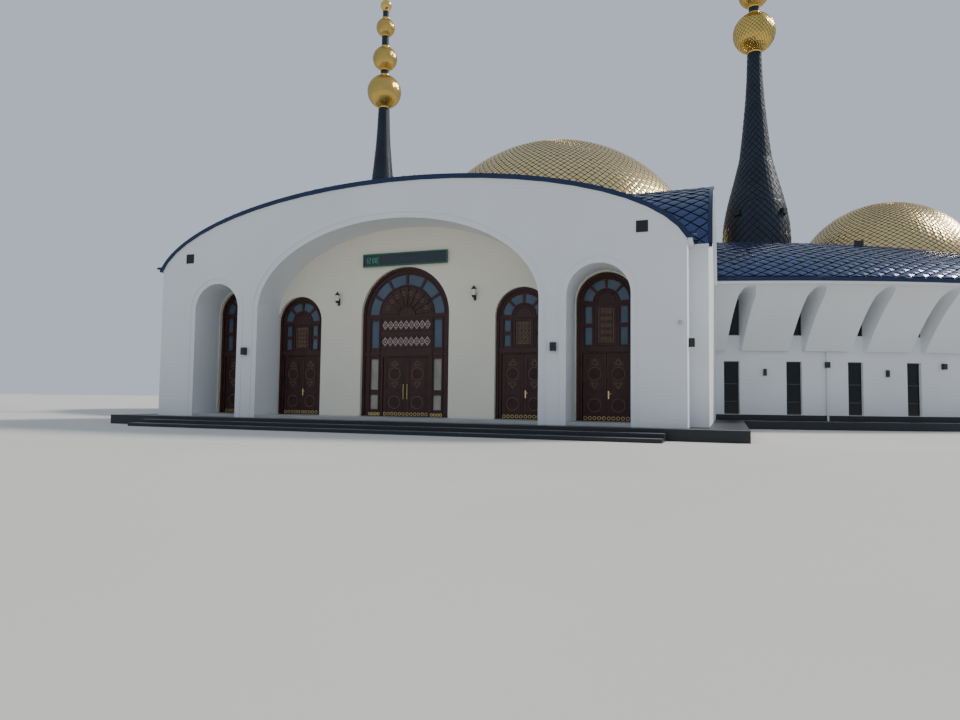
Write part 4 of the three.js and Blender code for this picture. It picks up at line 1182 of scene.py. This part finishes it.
def build_fittings():
    wall_lamps().finish("wall_lamps", "black lamp", "dark_shingle", closed=False)

    vents = Shape()
    slats = 6
    for x in (11.5, -11.5):
        frame_bars(vents, x - 0.24, x + 0.24, VENT_Z - 0.24, VENT_Z + 0.24, 0.04, -0.02, 0.01)
        vents.box(x - 0.2, x + 0.2, -0.005, 0.01, VENT_Z - 0.2, VENT_Z + 0.2)
        for k in range(slats):
            z = VENT_Z - 0.17 + k * 0.065
            vents.box(x - 0.2, x + 0.2, -0.02, -0.005, z, z + 0.02)
    vents.finish("portal_vents", "black", "dark_shingle", closed=False)

    display = Shape()
    low, high = DISPLAY_HEIGHTS
    y = FACADE_DEPTH
    display.box(-2.24, 2.24, y - 0.12, y, low, high)
    frame_bars(display, -2.26, 2.26, low - 0.02, high + 0.02, 0.07, y - 0.14, y - 0.1, 1)
    display.box(-1.45, -1.38, y - 0.13, y - 0.1, low + 0.05, high - 0.05, 1)
    for x, digit in ((-2.1, "1"), (-1.94, "2"), (-1.74, "0"), (-1.58, "0")):
        digit_bars(display, x, y - 0.125, low + 0.17, digit)
    display.finish("display_board", "display green lit", "dark_shingle", closed=False)

    watcher = Shape()
    watcher.box(12.9, 13.04, -0.05, 0.0, 4.56, 4.7)
    watcher.rod((12.97, -0.3, 4.56), (12.97, -0.03, 4.63), 0.055)
    watcher.finish("portal_camera", "grey", "plaster", closed=False)

    pipes = Shape()
    for k in range(DOWNPIPES):
        x, y, _ = on_wall(FIRST_DOWNPIPE + 4 * PITCH * k, 0.08, 0)
        for side in (-1, 1):
            pipes.rod((side * x, y, TERRACE_Z), (side * x, y, COVE_FOOT - 0.02), 0.06, 0, 12)
            for z in PIPE_CLIPS:
                pipes.rod((side * x, y, z), (side * x, y, z + 0.05), 0.075, 0, 12)
    pipes.finish("downpipes", "plaster", "plaster", closed=False)


def build_ground_works():
    base = Shape()
    steps = 240
    ring = [oval(t, WALKWAY) for t in whole_turn(steps)]
    points = [(*p, z) for z in (CLEARANCE, TERRACE_Z - 0.002) for p in ring]
    base.add(points, loop_faces(steps) + end_faces(steps))
    base.finish("hall_terrace", "granite", "granite", stands_for=("hall_base",))

    treads = Shape()
    for half, front, top in ((15.5, -0.9, 0.46), (12.5, -1.75, 0.3067), (12.5, -2.6, 0.1533)):
        treads.box(-half, half, front, front + 0.3, top - 0.001, top + 0.004)
    steps, inner, outer, low, high = 192, WALKWAY - 0.35, WALKWAY, TERRACE_Z - 0.002, TERRACE_Z + 0.003
    section = ((inner, low), (outer, low), (outer, high), (inner, high))
    points = [(*oval(t, offset), z) for t in whole_turn(steps) for offset, z in section]
    treads.add(points, [f for i in range(steps) for f in loop_faces(4, i, (i + 1) % steps)])
    treads.finish("step_edges", "tread", "granite", closed=False)


def dress_nodes():
    """Gives every solid the finish of its slot."""
    slots = {part["node"]: part["material_slot"] for part in frame["record"]["subparts"]}
    for name, node in frame["nodes"].items():
        node.data.materials.clear()
        node.data.materials.append(FINISHES[NODE_FINISHES[slots[name]]])
        if name in CEILINGS:
            middle = Vector(CEILINGS[name])
            node.data.materials.append(FINISHES["plaster"])
            for face in node.data.polygons:
                if face.normal.dot(middle - face.center) > 0:
                    face.material_index = 1


def build_stage():
    mesh = bpy.data.meshes.new("floor")
    far = 400.0
    mesh.from_pydata([(-far, -far, 0), (far, -far, 0), (far, far, 0), (-far, far, 0)], [], [(0, 1, 2, 3)])
    mesh.materials.append(finish("pale floor", (0.62, 0.6, 0.57), 0.9, mottle=0.04, mottle_scale=0.2))
    floor = bpy.data.objects.new("floor", mesh)
    bpy.context.scene.collection.objects.link(floor)

    world = bpy.data.worlds.new("studio")
    world.use_nodes = True
    sky = world.node_tree.nodes["Background"]
    sky.inputs["Color"].default_value = (*SKY_COLOUR, 1)
    sky.inputs["Strength"].default_value = SKY_STRENGTH
    bpy.context.scene.world = world
    sun = bpy.data.lights.new("sun", "SUN")
    sun.energy = SUN_STRENGTH
    sun.angle = radians(SUN_SPREAD)
    sun.color = SUN_COLOUR
    lamp = bpy.data.objects.new("sun", sun)
    bpy.context.scene.collection.objects.link(lamp)
    lamp.rotation_euler = Vector(TOWARDS_SUN).to_track_quat("Z", "Y").to_euler()

    yaw, pitch, roll = (radians(a) for a in CAMERA_TURNS)
    camera = bpy.data.cameras.new("camera")
    camera.sensor_width = SENSOR_WIDTH
    camera.lens = SENSOR_WIDTH * FOCAL_PIXELS / PHOTO_WIDTH
    camera.clip_end = 1000.0
    eye = bpy.data.objects.new("camera", camera)
    forward = Vector((-sin(yaw) * cos(pitch), cos(yaw) * cos(pitch), sin(pitch)))
    level = Vector((cos(yaw), sin(yaw), 0.0))
    right = level * cos(roll) + level.cross(forward) * sin(roll)
    up = right.cross(forward)
    place = (Vector(EYE) - Vector((0, MIDDLE_Y, 0))) * MODEL_SCALE
    eye.matrix_world = Matrix.Translation(place) @ Matrix((right, up, -forward)).transposed().to_4x4()
    bpy.context.scene.collection.objects.link(eye)
    bpy.context.scene.camera = eye


def colour(name, description, default):
    return FloatVectorProperty(name=name, description=description, subtype="COLOR", size=3, min=0.0, max=1.0,
                               default=default)


class MosqueSettings(bpy.types.PropertyGroup):
    shingle_lift: FloatProperty(
        name="Shingle lift", description="How far a shingle's lower corner stands off the roof",
        default=0.045, min=0.005, max=0.1, unit="LENGTH")
    plaster: colour("Plaster", "Colour of the white walls", (0.8, 0.82, 0.84))
    cream: colour("Cream", "Colour of the wall that holds the doors", (0.82, 0.78, 0.66))
    granite: colour("Granite", "Colour of the plinth and risers", (0.016, 0.017, 0.021))
    blue: colour("Blue shingles", "Colour of the hall's and portal's roofs", (0.055, 0.08, 0.175))
    gold: colour("Gold shingles", "Colour of the domes", (0.68, 0.53, 0.27))
    dark: colour("Dark shingles", "Colour of the minarets", (0.02, 0.028, 0.045))
    gilding: colour("Gilding", "Colour of the balls and tips", (0.72, 0.5, 0.14))
    wood: colour("Wood", "Colour of the doors", (0.046, 0.012, 0.010))


class MOSQUE_OT_finishes(bpy.types.Operator):
    """Make the finishes and give each solid its own"""
    bl_idname = "mosque.finishes"
    bl_label = "Finishes"

    def execute(self, context):
        FINISHES.update(make_finishes(context.scene.mosque))
        dress_nodes()
        return {"FINISHED"}


class MOSQUE_OT_ground_works(bpy.types.Operator):
    """Build the hall's terrace and the edges of the steps"""
    bl_idname = "mosque.ground_works"
    bl_label = "Ground works"

    def execute(self, context):
        build_ground_works()
        return {"FINISHED"}


class MOSQUE_OT_hall_walls(bpy.types.Operator):
    """Build the oval wall with its ledge and cove, and its plinth"""
    bl_idname = "mosque.hall_walls"
    bl_label = "Hall walls"

    def execute(self, context):
        build_hall_walls()
        return {"FINISHED"}


class MOSQUE_OT_hall_windows(bpy.types.Operator):
    """Build the bars and panes of the hall's windows"""
    bl_idname = "mosque.hall_windows"
    bl_label = "Hall windows"

    def execute(self, context):
        build_hall_windows()
        return {"FINISHED"}


class MOSQUE_OT_hall_roof(bpy.types.Operator):
    """Lay the hall roof's shingles and build its eave"""
    bl_idname = "mosque.hall_roof"
    bl_label = "Hall roof"

    def execute(self, context):
        build_hall_roof(context.scene.mosque)
        return {"FINISHED"}


class MOSQUE_OT_portal_roof(bpy.types.Operator):
    """Lay the portal roof's shingles and build its edge and the gable verges"""
    bl_idname = "mosque.portal_roof"
    bl_label = "Portal roof"

    def execute(self, context):
        build_portal_roof(context.scene.mosque)
        return {"FINISHED"}


class MOSQUE_OT_portal_walls(bpy.types.Operator):
    """Build the portal's face, its mouldings and the door wall"""
    bl_idname = "mosque.portal_walls"
    bl_label = "Portal walls"

    def execute(self, context):
        build_portal_walls()
        return {"FINISHED"}


class MOSQUE_OT_doors(bpy.types.Operator):
    """Build the carved frames and leaves of the doors"""
    bl_idname = "mosque.doors"
    bl_label = "Doors"

    def execute(self, context):
        build_doors()
        return {"FINISHED"}


class MOSQUE_OT_domes(bpy.types.Operator):
    """Lay the shingles of the domes"""
    bl_idname = "mosque.domes"
    bl_label = "Domes"

    def execute(self, context):
        build_domes(context.scene.mosque)
        return {"FINISHED"}


class MOSQUE_OT_minarets(bpy.types.Operator):
    """Build the minarets with their balls and tips"""
    bl_idname = "mosque.minarets"
    bl_label = "Minarets"

    def execute(self, context):
        build_minarets(context.scene.mosque)
        return {"FINISHED"}


class MOSQUE_OT_fittings(bpy.types.Operator):
    """Build the lamps, vents, display board and downpipes"""
    bl_idname = "mosque.fittings"
    bl_label = "Fittings"

    def execute(self, context):
        build_fittings()
        return {"FINISHED"}


class MOSQUE_OT_stage(bpy.types.Operator):
    """Build the floor, the light and the camera"""
    bl_idname = "mosque.stage"
    bl_label = "Stage"

    def execute(self, context):
        build_stage()
        return {"FINISHED"}


PIECES = (
    MOSQUE_OT_finishes, MOSQUE_OT_ground_works, MOSQUE_OT_hall_walls, MOSQUE_OT_hall_windows,
    MOSQUE_OT_hall_roof, MOSQUE_OT_portal_roof, MOSQUE_OT_portal_walls, MOSQUE_OT_doors, MOSQUE_OT_domes,
    MOSQUE_OT_minarets, MOSQUE_OT_fittings, MOSQUE_OT_stage,
)


class MOSQUE_PT_panel(bpy.types.Panel):
    """Sizes, colours and pieces of the mosque"""
    bl_idname = "MOSQUE_PT_panel"
    bl_label = "Mosque"
    bl_space_type = "VIEW_3D"
    bl_region_type = "UI"
    bl_category = "Mosque"

    def draw(self, context):
        for name in MosqueSettings.__annotations__:
            self.layout.prop(context.scene.mosque, name)
        for piece in PIECES:
            self.layout.operator(piece.bl_idname)


def register():
    bpy.utils.register_class(MosqueSettings)
    for piece in PIECES:
        bpy.utils.register_class(piece)
    bpy.utils.register_class(MOSQUE_PT_panel)
    bpy.types.Scene.mosque = PointerProperty(type=MosqueSettings)


def unregister():
    del bpy.types.Scene.mosque
    bpy.utils.unregister_class(MOSQUE_PT_panel)
    for piece in reversed(PIECES):
        bpy.utils.unregister_class(piece)
    bpy.utils.unregister_class(MosqueSettings)


def main():
    register()
    bpy.ops.mosque.finishes()
    bpy.ops.mosque.ground_works()
    bpy.ops.mosque.hall_walls()
    bpy.ops.mosque.hall_windows()
    bpy.ops.mosque.hall_roof()
    bpy.ops.mosque.portal_roof()
    bpy.ops.mosque.portal_walls()
    bpy.ops.mosque.doors()
    bpy.ops.mosque.domes()
    bpy.ops.mosque.minarets()
    bpy.ops.mosque.fittings()
    bpy.ops.mosque.stage()
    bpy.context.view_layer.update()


if __name__ == "__main__":
    main()
